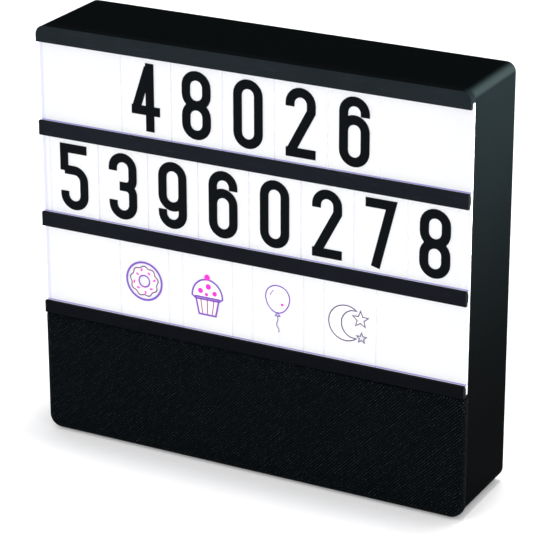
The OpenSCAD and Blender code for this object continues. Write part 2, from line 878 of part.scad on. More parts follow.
module grille_cloth() color("#0f1214") {
    difference() {
        grille_form(0, edge_y, $fn = 32);
        grille_form(cloth_t, edge_y + cut, $fn = 32);
    }
}

// Turns a profile of radius and depth round a speaker's axis
module turned(side) {
    translate([side * speaker_x, 0, speaker_z]) rotate([-90, 0, 0]) rotate_extrude() children();
}

module speaker_basket(side) color("#3a3d40") {
    difference() {
        union() {
            block(side * speaker_x, speaker_z, speaker_side, speaker_side, flange_y,
                flange_y + speaker_flange_t);
            turned(side) polygon([
                [basket_bore_r, flange_y + speaker_flange_t / 2],
                [basket_bore_r + basket_t, flange_y + speaker_flange_t / 2],
                [magnet_r + basket_t, magnet_y],
                [coil_r + basket_hub_w, magnet_y],
                [coil_r + basket_hub_w, basket_back_y],
                [magnet_r, basket_back_y]
            ]);
        }
        rod(side * speaker_x, speaker_z, basket_bore_r, flange_y - cut, flange_y + speaker_flange_t);
        for (turn = [0 : 90 : 270]) {
            vent_y = flange_y + speaker_flange_t + basket_vent_gap;
            translate([side * speaker_x, vent_y, speaker_z]) rotate([0, turn + 45, 0])
                translate([-basket_vent_w / 2, 0, magnet_r - basket_t])
                    cube([basket_vent_w, basket_vent_d, basket_bore_r]);
        }
        for (x = [-1, 1]) {
            for (z = [-1, 1]) {
                rod(side * speaker_x + x * speaker_screw_pitch, speaker_z + z * speaker_screw_pitch,
                    small_screw_r + pass_play, flange_y - cut, flange_y + speaker_flange_t + cut);
            }
        }
    }
}

module left_speaker_basket() speaker_basket(-1);

module right_speaker_basket() speaker_basket(1);

module speaker_magnet(side) color("dimgray") {
    difference() {
        rod(side * speaker_x, speaker_z, magnet_r, magnet_y, magnet_back_y);
        difference() {
            rod(side * speaker_x, speaker_z, coil_r + coil_play, magnet_y - cut, magnet_y + coil_gap_d);
            rod(side * speaker_x, speaker_z, coil_r - coil_t - coil_play, magnet_y - 2 * cut,
                magnet_back_y);
        }
    }
}

module left_speaker_magnet() speaker_magnet(-1);

module right_speaker_magnet() speaker_magnet(1);

// The paper cone with its dust cap and voice coil
module speaker_cone(side) color("#26282a") {
    rim_y = flange_y - surround_t;
    neck_y = rim_y + cone_depth;
    turned(side) polygon([
        [cone_r, rim_y],
        [cone_r, rim_y + cone_t],
        [coil_r, neck_y + cone_t],
        [coil_r, coil_end_y],
        [coil_r - coil_t, coil_end_y],
        [coil_r - coil_t, neck_y],
        [0, neck_y - dust_cap_d],
        [0, neck_y - dust_cap_d - cone_t],
        [coil_r - coil_t, neck_y - cone_t],
        [cone_r - cone_t, rim_y]
    ]);
}

module left_speaker_cone() speaker_cone(-1);

module right_speaker_cone() speaker_cone(1);

// The rubber surround: a flat rim on the flange and a half roll inside it
module speaker_surround(side) color("#101112") {
    roll_y = flange_y;
    turned(side) union() {
        difference() {
            translate([surround_r, roll_y]) circle(surround_roll + surround_t / 2);
            translate([surround_r, roll_y]) circle(surround_roll - surround_t / 2);
            translate([surround_r - basket_bore_r, roll_y - basket_bore_r])
                square([2 * basket_bore_r, basket_bore_r]);
        }
        translate([basket_bore_r - surround_t, roll_y - surround_t])
            square([surround_rim_r - basket_bore_r + surround_t, surround_t]);
    }
}

module left_speaker_surround() speaker_surround(-1);

module right_speaker_surround() speaker_surround(1);

module speaker_screws() color("silver") {
    for (side = [-1, 1]) {
        for (x = [-1, 1]) {
            for (z = [-1, 1]) {
                screw(side * speaker_x + x * speaker_screw_pitch, speaker_z + z * speaker_screw_pitch,
                    flange_y + speaker_flange_t, -1, small_screw_r, small_head_r,
                    speaker_flange_t + baffle_t / 2);
            }
        }
    }
}

module main_board() color("darkgreen") {
    difference() {
        block(0, recess_z, board_w, board_h, board_y, board_back_y);
        for (x = board_screws_x) {
            for (z = board_screws_z) rod(x, z, small_screw_r + pass_play, board_y - cut, board_back_y + cut);
        }
    }
}

// The radio module, the amplifier, a capacitor and the battery's socket
module board_components() color("#2b2f36") {
    block(radio_x, recess_z, radio_w, radio_h, board_back_y, board_back_y + radio_t);
    block(amplifier_x, recess_z, amplifier_side, amplifier_side, board_back_y,
        board_back_y + amplifier_t);
    rod(capacitor_x, recess_z - capacitor_drop, capacitor_r, board_back_y,
        board_back_y + capacitor_l);
    block(0, power_socket_z + power_socket_h / 2, power_socket_w, power_socket_h, board_back_y,
        board_back_y + power_socket_d);
}

module board_screws() color("silver") {
    for (x = board_screws_x) {
        for (z = board_screws_z) {
            screw(x, z, board_y, 1, small_screw_r, small_head_r,
                board_t + board_screw_grip);
        }
    }
}

module key_switches() color("#33363a") {
    for (i = [-2 : 2]) {
        block(i * button_pitch, button_z, key_side, key_side, board_back_y, board_back_y + key_t);
        rod(i * button_pitch, button_z, key_stem_r, board_back_y + key_t, key_end_y);
    }
}

// A round button: its cap, the flange that keeps it in, and its plunger
module button(place) {
    x = place * button_pitch;
    rod(x, button_z, button_r, floor_y - touch_gap - button_flange_t, button_face_y);
    rod(x, button_z, button_r + button_flange_w, floor_y - touch_gap - button_flange_t, floor_y - touch_gap);
    rod(x, button_z, key_stem_r, key_end_y + button_travel + touch_gap, floor_y - button_flange_t);
}

module power_button() color("#24282a") button(2);

module volume_down_button() color("#24282a") button(1);

module play_button() color("#24282a") button(0);

module volume_up_button() color("#24282a") button(-1);

module pairing_button() color("#24282a") button(-2);

module charging_socket() color("silver") {
    mouth_y = socket_face_y - usb_mouth_d;
    difference() {
        stadium(-socket_x, socket_z, usb_w, usb_h, board_back_y, socket_face_y);
        stadium(-socket_x, socket_z, usb_w - 2 * usb_t, usb_h - 2 * usb_t, mouth_y, socket_face_y + cut);
    }
    block(-socket_x, socket_z, usb_tongue_w, usb_tongue_t, mouth_y - cut, socket_face_y - usb_tongue_t);
}

module headphone_socket() color("#1d1f21") {
    difference() {
        union() {
            block(0, socket_z, jack_body, jack_body, board_back_y, floor_y - touch_gap);
            rod(0, socket_z, jack_nose_r, floor_y - 2 * touch_gap, socket_face_y);
        }
        rod(0, socket_z, jack_r, board_back_y + jack_bottom_t, socket_face_y + cut);
    }
}

module light_switch_body() color("silver") {
    difference() {
        block(socket_x - switch_travel / 2, socket_z, switch_body_w, switch_body_h, board_back_y,
            switch_body_y);
        block(socket_x - switch_travel / 2, socket_z, switch_stem_w + switch_travel + 2 * socket_play,
            switch_stem + 2 * socket_play, switch_body_y - switch_well_d, switch_body_y + cut);
    }
}

module light_switch_slider() color("#24282a") {
    block(socket_x, socket_z, switch_stem_w, switch_stem,
        switch_body_y - switch_well_d + switch_well_play, recess_floor_y + knob_sink);
    difference() {
        block(socket_x, socket_z, switch_knob_w, switch_knob_h, recess_floor_y + touch_gap,
            button_face_y);
        for (i = [-1 : 1]) {
            block(socket_x + i * knob_groove_pitch, socket_z, knob_groove_w, switch_knob_h + cut,
                button_face_y - knob_groove_d, button_face_y + cut);
        }
    }
}

module battery_cells() color("steelblue") {
    for (side = [-1, 1]) {
        translate([-cell_l / 2, cells_y, speaker_z + side * (cell_r + cell_play / 2)])
            rotate([0, 90, 0]) cylinder(r = cell_r, h = cell_l);
    }
}

module battery_holder() color("#26292c") {
    difference() {
        block(0, speaker_z, 2 * holder_half_w, 2 * holder_half_h, holder_y, cover_y);
        block(0, speaker_z, 2 * (holder_half_w - holder_t), 2 * (holder_half_h - holder_t),
            holder_y - cut, cover_y - holder_t);
    }
}

// From the board to the three strips, through the tray's back
module led_leads() color("crimson") {
    low = windows_z[0];
    high = windows_z[2];
    feed_x = -board_w / 2 + led_feed_in;
    lead([[led_lead_x, tray_floor_y, low], [led_lead_x, lead_y, low], [led_lead_x, lead_y, high],
        [led_lead_x, tray_floor_y, high]]);
    lead([[led_lead_x, tray_floor_y, windows_z[1]], [led_lead_x, lead_y, windows_z[1]]]);
    lead([[led_lead_x, lead_y, recess_z], [feed_x, lead_y, recess_z], [feed_x, board_y, recess_z]]);
}

// From the board down through the shelf, then over each speaker to its basket
module speaker_leads() color("royalblue") {
    run_z = (speaker_z + speaker_side / 2 + shelf_z) / 2;
    tab_y = flange_y + speaker_flange_t + lead_stand;
    for (side = [-1, 1]) {
        x = side * speaker_lead_x;
        lead([[x, board_y, recess_z], [x, lead_y, recess_z], [x, lead_y, run_z],
            [side * speaker_x, lead_y, run_z], [side * speaker_x, tab_y, run_z],
            [side * speaker_x, tab_y, speaker_z + basket_bore_r + basket_t / 2]]);
    }
}

// From the battery holder up through the shelf to its socket on the board
module battery_lead() color("goldenrod") {
    y = board_back_y + power_socket_d / 2;
    lead([[0, y, speaker_z + holder_half_h], [0, y, power_socket_z]]);
}

casing();
back_cover();
back_cover_screws();
rubber_feet();
diffuser_panel();
top_rail();
upper_rail();
lower_rail();
base_rail();
rail_screws();
number_tiles_row_1();
number_tiles_row_2();
picture_tile_1();
picture_tile_2();
picture_tile_3();
picture_tile_4();
reflector_tray();
led_strip_top();
led_strip_middle();
led_strip_bottom();
led_chips();
speaker_baffle();
baffle_screws();
grille_frame();
grille_cloth();
left_speaker_basket();
left_speaker_magnet();
left_speaker_cone();
left_speaker_surround();
right_speaker_basket();
right_speaker_magnet();
right_speaker_cone();
right_speaker_surround();
speaker_screws();
main_board();
board_components();
board_screws();
key_switches();
power_button();
volume_down_button();
play_button();
volume_up_button();
pairing_button();
charging_socket();
headphone_socket();
light_switch_body();
light_switch_slider();
battery_cells();
battery_holder();
led_leads();
speaker_leads();
battery_lead();
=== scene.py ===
"""Dresses the cinema light box: finishes for its solids, its cloth grille and
the prints on its tiles, on a pale studio floor."""

import json
import math

import bmesh
import bpy
import numpy as np
from bpy.props import FloatProperty, FloatVectorProperty, PointerProperty, StringProperty
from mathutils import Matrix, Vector

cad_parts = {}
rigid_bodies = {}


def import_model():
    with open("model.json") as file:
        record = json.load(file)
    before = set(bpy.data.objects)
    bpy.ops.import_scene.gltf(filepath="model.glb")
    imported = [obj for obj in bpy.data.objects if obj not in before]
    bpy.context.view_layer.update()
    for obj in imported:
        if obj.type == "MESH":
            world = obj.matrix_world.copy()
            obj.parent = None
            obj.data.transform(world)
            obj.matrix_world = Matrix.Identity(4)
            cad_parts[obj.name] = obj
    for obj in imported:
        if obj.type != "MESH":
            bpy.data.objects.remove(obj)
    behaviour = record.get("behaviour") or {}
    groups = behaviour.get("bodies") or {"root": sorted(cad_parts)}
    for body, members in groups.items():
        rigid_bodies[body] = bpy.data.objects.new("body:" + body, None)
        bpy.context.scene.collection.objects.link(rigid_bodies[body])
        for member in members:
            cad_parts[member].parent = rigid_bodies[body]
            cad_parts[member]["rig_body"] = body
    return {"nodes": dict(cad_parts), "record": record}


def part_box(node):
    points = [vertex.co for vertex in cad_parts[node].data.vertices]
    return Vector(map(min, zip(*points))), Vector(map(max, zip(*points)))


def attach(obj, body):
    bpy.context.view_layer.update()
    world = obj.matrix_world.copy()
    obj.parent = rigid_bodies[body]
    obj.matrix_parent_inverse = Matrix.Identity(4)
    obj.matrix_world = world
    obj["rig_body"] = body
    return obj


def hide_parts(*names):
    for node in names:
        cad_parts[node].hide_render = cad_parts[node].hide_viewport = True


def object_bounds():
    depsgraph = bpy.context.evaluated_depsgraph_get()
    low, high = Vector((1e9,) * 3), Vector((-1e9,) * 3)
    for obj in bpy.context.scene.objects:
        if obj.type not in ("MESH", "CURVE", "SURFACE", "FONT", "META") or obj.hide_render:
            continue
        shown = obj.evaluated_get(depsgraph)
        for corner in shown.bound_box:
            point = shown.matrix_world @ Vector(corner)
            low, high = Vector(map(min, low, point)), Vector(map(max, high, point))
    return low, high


bl_info = {
    "name": "Cinema light box",
    "version": (1, 0, 0),
    "blender": (4, 5, 0),
    "location": "3D View > Sidebar > Light box",
    "description": "Finishes, grille cloth and tile prints for a cinema light box",
    "category": "Object",
}

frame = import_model()
CAD_BOX = [list(corner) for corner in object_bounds()]
NODES = frame["nodes"]
MM = 0.001
WHITE = (1.0, 1.0, 1.0)
FULL_TURN = 2.0 * math.pi

# How many tiles each node holds, side by side
PICTURE_TILES = [f"picture_tile_{place}" for place in (1, 2, 3, 4)]
TILES = {"number_tiles_row_1": 5, "number_tiles_row_2": 8, **dict.fromkeys(PICTURE_TILES, 1)}


# Settings


def length(name, description, default):
    """A size in metres that a user may change."""
    return FloatProperty(name=name, description=description, default=default, unit="LENGTH", precision=5)


def colour(name, description, default):
    """A linear colour that a user may change."""
    return FloatVectorProperty(
        name=name, description=description, default=default, subtype="COLOR", size=3, min=0, max=1)


def factor(name, description, default):
    """A share from nothing to all that a user may change."""
    return FloatProperty(name=name, description=description, default=default, subtype="FACTOR", min=0, max=1)


class StageSettings(bpy.types.PropertyGroup):
    """The camera, the floor and the backdrop."""
    camera_place: FloatVectorProperty(
        name="Camera place", description="Where the camera stands",
        default=(0.54012, -1.01868, 0.55678), subtype="TRANSLATION", size=3)
    camera_turn: FloatVectorProperty(
        name="Camera turn", description="The camera's rotation about X, Y and Z",
        default=(1.18955, 0.00234, 0.48686), subtype="EULER", size=3)
    lens: FloatProperty(
        name="Lens", description="Focal length of the camera, in millimetres",
        default=177.36, subtype="DISTANCE_CAMERA")
    floor_radius: length("Floor radius", "Radius of the pale floor", 9.0)
    floor_colour: colour("Floor", "Colour of the floor", (0.84, 0.84, 0.85))
    floor_lift: factor("Floor lift", "Light that the camera sees on the floor besides the lamps'", 0.16)
    sky_colour: colour("Backdrop", "Colour of the backdrop near the horizon", WHITE)
    ceiling_colour: colour("Ceiling", "Colour of the studio above the backdrop", (0.02, 0.022, 0.024))
    room_light: factor("Room light", "Strength of the light that fills the room", 0.98)


class BoxSettings(bpy.types.PropertyGroup):
    """The black plastic parts."""
    casing_colour: colour("Casing", "Colour of the casing and the rails", (0.0010, 0.0015, 0.0017))
    cover_colour: colour("Cover", "Colour of the back cover", (0.0080, 0.0092, 0.0100))
    # Painted light on the upper rail's front
    rail_front_light_colour: colour("Rail fronts", "Colour painted on the upper rail's front as light", (0.0054, 0.0062, 0.0086))
    # Painted highlight on the casing's rounded upper edges
    painted_edge_highlight_colour: colour("Painted edge highlight", "Colour of the casing's rounded upper edges", (0.0048, 0.0066, 0.0068))
    # Painted light on the top rail's front
    cap_front_light_colour: colour("Top rail front", "Colour painted on the top rail's front as light", (0.0080, 0.0106, 0.0124))
    control_colour: colour("Controls", "Colour of the buttons and the switch", (0.013, 0.014, 0.015))
    edge_radius: length("Edge radius", "How far the moulded edges are rounded", 0.0005)


class PanelSettings(bpy.types.PropertyGroup):
    """The lit panel and the film tiles."""
    glow: factor("Glow", "Strength of the panel's own light", 0.66)
    glow_colour: colour("Glow colour", "Colour of the panel's middle", (0.985, 0.995, 1.0))
    rim_colour: colour("Rim colour", "Colour of the panel near its ends and top", (0.74, 0.76, 0.92))
    seat_colour: colour(
        "Seat colour", "Colour of the light that leaks where a rail meets the panel", (0.16, 0.13, 0.72))
    film_alpha: factor("Film", "How much the tiles' film hides", 0.05)
    film_edge: factor("Film edges", "How much more the film's cut edges hide", 0.17)


class PrintSettings(bpy.types.PropertyGroup):
    """The numbers and pictures on the tiles."""
    digit_h: length("Number height", "Height of the numbers", 0.0328)
    digit_w: length("Number width", "Width of the numbers", 0.0151)
    digit_stroke: length("Number stroke", "Width of the numbers' strokes", 0.0045)
    row_1: StringProperty(name="Top row", description="Numbers on the top row", default="48026")
    row_2: StringProperty(name="Middle row", description="Numbers on the middle row", default="53960278")
    ink: colour("Ink", "Colour of the numbers", (0.0030, 0.0042, 0.0054))
    violet: colour("Violet", "Colour of the pictures' outlines", (0.175, 0.075, 0.42))
    grape: colour("Grape", "Colour of the darker outlines", (0.095, 0.055, 0.17))
    magenta: colour("Magenta", "Colour of the dots", (0.79, 0.035, 0.50))
    blush: colour("Blush", "Colour of the pale fills", (0.93, 0.70, 0.70))
    cream: colour("Cream", "Colour of the palest fills", (0.92, 0.91, 0.80))
    through: factor("Light through", "Share of the panel's light that shines through the coloured inks", 0.30)
    print_t: length("Print thickness", "Thickness of the printed ink", 0.00003)


class GrilleSettings(bpy.types.PropertyGroup):
    """The cloth over the speakers."""
    cloth_colour: colour("Cloth", "Colour of the threads", (0.0060, 0.0104, 0.0136))
    # Painted glints on the threads' crowns
    glint_colour: colour("Flecks", "Colour of the glints painted on the threads' crowns", (0.075, 0.092, 0.104))
    weave_pitch: length("Weave pitch", "Distance that sets the size of the twill's ribs", 0.00135)
    cloth_t: length("Cloth thickness", "Thickness of the cloth", 0.0005)
    edge_radius: length("Edge radius", "Radius of the grille's front edges", 0.003)
    corner_radius: length("Corner radius", "Radius of the grille's bottom corners", 0.006)
    top_radius: length("Top radius", "Radius of the grille's top corners", 0.0012)
    top_ease: factor("Top ease", "How much the top edge draws in, as a share of the others", 0.35)


# Node helpers: each adds to the node tree that its first value belongs to


def node(tree, kind, inputs=None, **values):
    """A shader node with its properties and input values set; a value that is a socket is linked."""
    made = tree.nodes.new("ShaderNode" + kind)
    for key, value in values.items():
        setattr(made, key, value)
    for key, value in (inputs or {}).items():
        if isinstance(value, bpy.types.NodeSocket):
            tree.links.new(value, made.inputs[key])
        else:
            made.inputs[key].default_value = value
    return made


def feed(target, **values):
    """Links values to a node's inputs; an underscore stands for a space in an input's name."""
    for key, value in values.items():
        target.id_data.links.new(value, target.inputs[key.replace("_", " ")])


def maths(operation, first, second=0.0, clamp=False):
    """The output of one Math node."""
    return node(first.id_data, "Math", {0: first, 1: second}, operation=operation, use_clamp=clamp).outputs[0]


def vectors(operation, first, second):
    """The output of one Vector Math node."""
    return node(first.id_data, "VectorMath", {0: first, 1: second}, operation=operation).outputs[0]


def mix(share, first, second):
    """The output of one colour mix."""
    first, second = (tone if isinstance(tone, bpy.types.NodeSocket) else (*tone, 1.0)
                     for tone in (first, second))
    return node(share.id_data, "Mix", {0: share, 6: first, 7: second}, data_type="RGBA").outputs[2]


def span(value, low, high, to_low=0.0, to_high=1.0):
    """A value carried from one range to another, smoothly and within its ends."""
    return node(value.id_data, "MapRange", {0: value, 1: low, 2: high, 3: to_low, 4: to_high},
                interpolation_type="SMOOTHSTEP").outputs[0]


def object_place(tree):
    """Where a point lies on the object, in metres."""
    return node(tree, "TexCoord").outputs["Object"]


def split(vector):
    """A vector's parts along X, Y and Z."""
    return node(vector.id_data, "SeparateXYZ", {0: vector}).outputs


def facing(tree):
    """Which way the surface looks, as its parts along X, Y and Z."""
    return split(node(tree, "NewGeometry").outputs["Normal"])


def noise(place, scale, detail=4.0, rough=0.55, stretch=None):
    """The value of one noise, at so many cells per metre."""
    if stretch is not None:
        place = vectors("MULTIPLY", place, stretch)
    values = {"Vector": place, "Scale": scale, "Detail": detail, "Roughness": rough}
    return node(place.id_data, "TexNoise", values).outputs[0]


def seen_directly(tree):
    """One for the camera's rays and for mirrored or refracted ones, and nothing for the others."""
    ray = node(tree, "LightPath").outputs
    bent = maths("MAXIMUM", ray["Is Glossy Ray"], ray["Is Transmission Ray"])
    return maths("MAXIMUM", ray["Is Camera Ray"], bent)


def scaled(tone, times):
    """A colour made lighter or darker."""
    return tuple(min(1.0, channel * times) for channel in tone)


# Shared effects


def group_tree(name, inputs, outputs):
    """An empty node group, the sockets that it is given, and its output node."""
    tree = bpy.data.node_groups.new(name, "ShaderNodeTree")
    for label, default in inputs.items():
        made = tree.interface.new_socket(name=label, in_out="INPUT", socket_type="NodeSocketFloat")
        made.default_value = default
    for label in outputs:
        tree.interface.new_socket(name=label, in_out="OUTPUT", socket_type="NodeSocketFloat")
    return tree, tree.nodes.new("NodeGroupInput").outputs, tree.nodes.new("NodeGroupOutput")


def build_moulded_grain():
    """Moulded plastic: fine spark grain, soft flow marks and faint handling scuffs."""
    tree, given, made = group_tree(
        "Moulded grain", {"Grain": 2600.0, "Scuffs": 0.5}, ["Height", "Shade", "Gloss"])
    place = object_place(tree)
    grain = noise(place, given["Grain"], detail=3.0, rough=0.6)
    flow = noise(place, 22.0, detail=3.0, rough=0.5)
    scuff = noise(place, 90.0, detail=5.0, rough=0.62, stretch=(1.0, 0.6, 9.0))
    scuff = maths("MULTIPLY", span(scuff, 0.60, 0.74), given["Scuffs"])
    shade = maths("ADD", maths("MULTIPLY", grain, 0.35), maths("MULTIPLY", flow, 0.65))
    shade = maths("ADD", shade, maths("MULTIPLY", scuff, 0.5))
    gloss = maths("ADD", maths("MULTIPLY", flow, 0.5), maths("MULTIPLY", grain, 0.3))
    feed(made, Height=grain, Shade=shade, Gloss=maths("ADD", gloss, scuff))
    return tree


def build_dust():
    """Specks of dust, more of them on faces that look up."""
    tree, given, made = group_tree("Dust", {"Amount": 0.3}, ["Mask"])
    place = object_place(tree)
    specks = node(tree, "TexVoronoi", {"Vector": place, "Scale": 420.0}, feature="F1")
    speck = span(specks.outputs["Distance"], 0.05, 0.14, 1.0, 0.0)
    few = span(noise(place, 70.0, detail=2.0), 0.56, 0.70)
    settled = span(facing(tree)[2], -0.2, 1.0, 0.35, 1.0)
    mask = maths("MULTIPLY", maths("MULTIPLY", speck, few), settled)
    feed(made, Mask=maths("MULTIPLY", mask, given["Amount"], clamp=True))
    return tree


def build_twill():
    """A twill weave on the cloth's own map: slanting ribs crossed by threads, with painted glints on their
    crowns.
    """
    tree, given, made = group_tree("Twill weave", {"Pitch": 0.00135}, ["Height", "Crown", "Fleck"])
    place = node(tree, "UVMap").outputs[0]
    drift = node(tree, "TexNoise", {"Vector": place, "Scale": 160.0, "Detail": 2.0})
    reach = {0: drift.outputs["Color"], "Scale": 0.00030}
    wander = node(tree, "VectorMath", reach, operation="SCALE").outputs[0]
    place = vectors("ADD", place, wander)
    across, along = split(place)[:2]

    def ribs(value, share):
        """A wave of 0 to 1 that repeats once in a share of the pitch."""
        turn = maths("DIVIDE", value, maths("MULTIPLY", given["Pitch"], share))
        wave = maths("SINE", maths("MULTIPLY", turn, FULL_TURN))
        return maths("ADD", maths("MULTIPLY", wave, 0.5), 0.5)

    rib_share, thread_share = 0.84, 0.5
    slant = maths("MULTIPLY", maths("SUBTRACT", across, along), math.sqrt(0.5))
    rib = ribs(slant, rib_share)
    thread = maths("MULTIPLY", ribs(across, thread_share), ribs(along, thread_share))
    height = maths("ADD", maths("MULTIPLY", rib, 0.5), maths("MULTIPLY", thread, 0.5))
    crown = span(height, 0.35, 0.85)
    # Painted glints on the crowns of the weave
    glint = span(noise(place, 1500.0, detail=2.0, rough=0.7), 0.52, 0.70)
    feed(made, Height=height, Crown=crown, Fleck=maths("MULTIPLY", glint, crown))
    return tree


EFFECTS = {"Moulded grain": build_moulded_grain, "Dust": build_dust, "Twill weave": build_twill}


def effect(tree, name, **values):
    """The outputs of a shared effect with its own values; the effect is built when it is first used."""
    shared = bpy.data.node_groups.get(name) or EFFECTS[name]()
    return node(tree, "Group", values, node_tree=shared).outputs


# Materials


def material(name, specular=0.5, **uniform):
    """A material with its Principled shader; uniform values are set on the shader itself."""
    uniform["Specular IOR Level"] = specular
    made = bpy.data.materials.new(name)
    made.use_nodes = True
    tree = made.node_tree
    shader = next(n for n in tree.nodes if n.type == "BSDF_PRINCIPLED")
    for key, value in uniform.items():
        if isinstance(value, tuple):
            value = (*value, 1.0)
        shader.inputs[key.replace("_", " ")].default_value = value
    return made, tree, shader


def bump(shader, height, distance):
    """A bump of so many metres, from a height of 0 to 1."""
    made = node(shader.id_data, "Bump", {"Distance": distance, "Height": height})
    feed(shader, Normal=made.outputs[0])


def plastic(name, base, roughness, grain=2600.0, depth=0.00002, scuffs=0.5, dust=0.25, lighter=1.7,
            painted_front_light=None, painted_edge_highlight=None, **uniform):
    """Moulded plastic with grain, flow marks, scuffs and a little dust.

    With a painted front light colour, faces that look to the front have that colour, as painted light on the
    fronts.
    With a painted edge highlight colour, the rounded upper edges fade to that colour, as a painted highlight.
    """
    dust_colour = (0.22, 0.22, 0.23)
    front, turned_away = -0.95, -0.5
    made, tree, shader = material(name, **uniform)
    grained = effect(tree, "Moulded grain", Grain=grain, Scuffs=scuffs)
    shaded = mix(grained["Shade"], base, scaled(base, lighter))
    look = facing(tree)
    # Painted light: faces that look to the front take a lighter colour than the rest.
    if painted_front_light is not None:
        painted_front_tone = mix(grained["Shade"], painted_front_light, scaled(painted_front_light, lighter))
        shaded = mix(span(look[1], front, turned_away, 1.0, 0.0), shaded, painted_front_tone)
    # Painted highlight along the rounded upper edges.
    if painted_edge_highlight is not None:
        rounding = maths("MULTIPLY", maths("MULTIPLY", look[0], look[0]), look[2])
        shaded = mix(span(rounding, 0.0, 0.40), shaded, painted_edge_highlight)
    shaded = mix(effect(tree, "Dust", Amount=dust)["Mask"], shaded, dust_colour)
    feed(shader, Base_Color=shaded,
         Roughness=span(grained["Gloss"], 0.1, 1.2, roughness - 0.06, roughness + 0.12))
    bump(shader, grained["Height"], depth)
    return made


def steel(name, base, roughness):
    """Turned steel: fine rings of machining under a thin oil film."""
    made, tree, shader = material(name, Metallic=1.0)
    place = object_place(tree)
    marks = noise(place, 900.0, rough=0.6, stretch=(1.0, 6.0, 1.0))
    film = noise(place, 60.0, detail=2.0)
    feed(shader, Base_Color=mix(film, base, scaled(base, 0.8)),
         Roughness=span(marks, 0.2, 0.8, roughness - 0.08, roughness + 0.10))
    bump(shader, marks, 0.00001)
    return made


def mottled(name, dark, light, scale, depth, detail=4.0, rough=0.55, stretch=None, **uniform):
    """A matt stuff whose colour and height follow one noise, as in ferrite, paper or a creased sleeve."""
    made, tree, shader = material(name, **uniform)
    grain = noise(object_place(tree), scale, detail, rough, stretch)
    feed(shader, Base_Color=mix(grain, dark, light))
    bump(shader, grain, depth)
    return made


def ink(name, base, through=0.0):
    """Printed ink: even, with a faint tooth and small thin spots; through is the share of the panel's
    light that shines through it."""
    made, tree, shader = material(name, specular=0.03, Emission_Strength=through)
    thin = span(noise(object_place(tree), 1400.0, detail=3.0, rough=0.7), 0.55, 0.80)
    paler = tuple(min(1.0, channel * 1.5 + 0.003) for channel in base)
    tone = mix(thin, base, paler)
    feed(shader, Base_Color=tone, Emission_Color=tone, Roughness=span(thin, 0.0, 1.0, 0.55, 0.7))
    return made


def lit_opal(settings):
    """Opal sheet lit from behind: bright in its middle, duller at its ends and top, blue where light
    leaks along the rails."""
    made, tree, shader = material(
        "Lit opal", Roughness=0.35, specular=0.2, Emission_Strength=settings.glow)
    place = object_place(tree)
    across, _, up = split(place)
    half, height = CAD_BOX[1][0], CAD_BOX[1][2]
    leak, leak_end = 0.15 * MM, 0.45 * MM
    bare_edge, bare_edge_end = 1.2 * MM, 2.4 * MM
    end_cover, end_reach = 2 * MM, 26 * MM
    top_cover, top_reach = 8 * MM, 30 * MM
    seats = [span(maths("ABSOLUTE", maths("SUBTRACT", up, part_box(rail)[1].z)),
                  leak, leak_end, 1.0, 0.0) for rail in ("base_rail", "lower_rail", "upper_rail")]
    seat = maths("MAXIMUM", seats[0], maths("MAXIMUM", seats[1], seats[2]))
    left_end = span(across, bare_edge_end - half, bare_edge - half)
    ends = span(maths("ABSOLUTE", across), half - end_reach, half - end_cover, 0.0, 0.16)
    top = span(up, height - top_reach, height - top_cover, 0.0, 0.12)
    cloud = span(noise(place, 28.0, detail=3.0), 0.35, 0.75, 0.0, 0.08)
    rim = maths("ADD", maths("ADD", left_end, ends), maths("ADD", top, cloud), clamp=True)
    glow = mix(rim, settings.glow_colour, settings.rim_colour)
    feed(shader, Emission_Color=mix(seat, glow, settings.seat_colour),
         Base_Color=mix(cloud, (0.30, 0.30, 0.31), (0.27, 0.27, 0.29)))
    bump(shader, noise(place, 1800.0), 0.00001)
    return made


def film(name, count, settings):
    """Clear film with a slight haze, which glows faintly with painted light from the panel behind it, and
    whose cut edges catch the panel's light.
    """
    # The film's emission is painted light from the panel behind it.
    made, tree, shader = material(
        "Film of " + name.replace("_", " "), specular=0.3, Emission_Strength=0.15)
    place = object_place(tree)
    haze = noise(place, 300.0, detail=3.0)
    low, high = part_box(name)
    pitch = (high.x - low.x) / count
    cut, cut_end = 0.15 * MM, 0.40 * MM
    turn = maths("DIVIDE", maths("SUBTRACT", split(place)[0], low.x), pitch)
    edge = span(maths("PINGPONG", turn, 0.5), cut / pitch, cut_end / pitch, 1.0, 0.0)
    clear = span(haze, 0.3, 0.7, settings.film_alpha * 0.7, settings.film_alpha * 1.3)
    hazy = mix(haze, (0.84, 0.85, 0.90), (0.90, 0.90, 0.93))
    feed(shader, Alpha=maths("ADD", clear, maths("MULTIPLY", edge, settings.film_edge)),
         Base_Color=mix(edge, hazy, (0.50, 0.47, 0.64)),
         Emission_Color=mix(edge, (0.95, 0.96, 1.0), (0.60, 0.57, 0.82)),
         Roughness=span(haze, 0.3, 0.7, 0.18, 0.32))
    return made


def grille_twill(settings):
    """Black twill, with painted shade in the hollows of its weave, painted glints on the crowns of its ribs
    and a soft sheen.
    """
    made, tree, shader = material(
        "Grille twill", Roughness=0.85, specular=0.02, Sheen_Weight=0.015, Sheen_Roughness=0.4)
    weave = effect(tree, "Twill weave", Pitch=settings.weave_pitch)
    # Painted shade: the weave's hollows are far darker than its crowns.
    painted_gap_shade = scaled(settings.cloth_colour, 0.08)
    tone = mix(weave["Crown"], painted_gap_shade, settings.cloth_colour)
    # Painted glints on the crowns of the ribs.
    feed(shader, Base_Color=mix(weave["Fleck"], tone, settings.glint_colour))
    bump(shader, weave["Height"], 0.0003)
    return made


def led_lens():
    """The lens of a small lamp, warm and lit."""
    made, tree, shader = material("LED lens", Roughness=0.25, Emission_Strength=1.0)
    cloud = noise(object_place(tree), 700.0)
    tone = mix(cloud, (1.0, 0.93, 0.70), (1.0, 0.98, 0.86))
    feed(shader, Base_Color=tone, Emission_Color=tone)
    return made


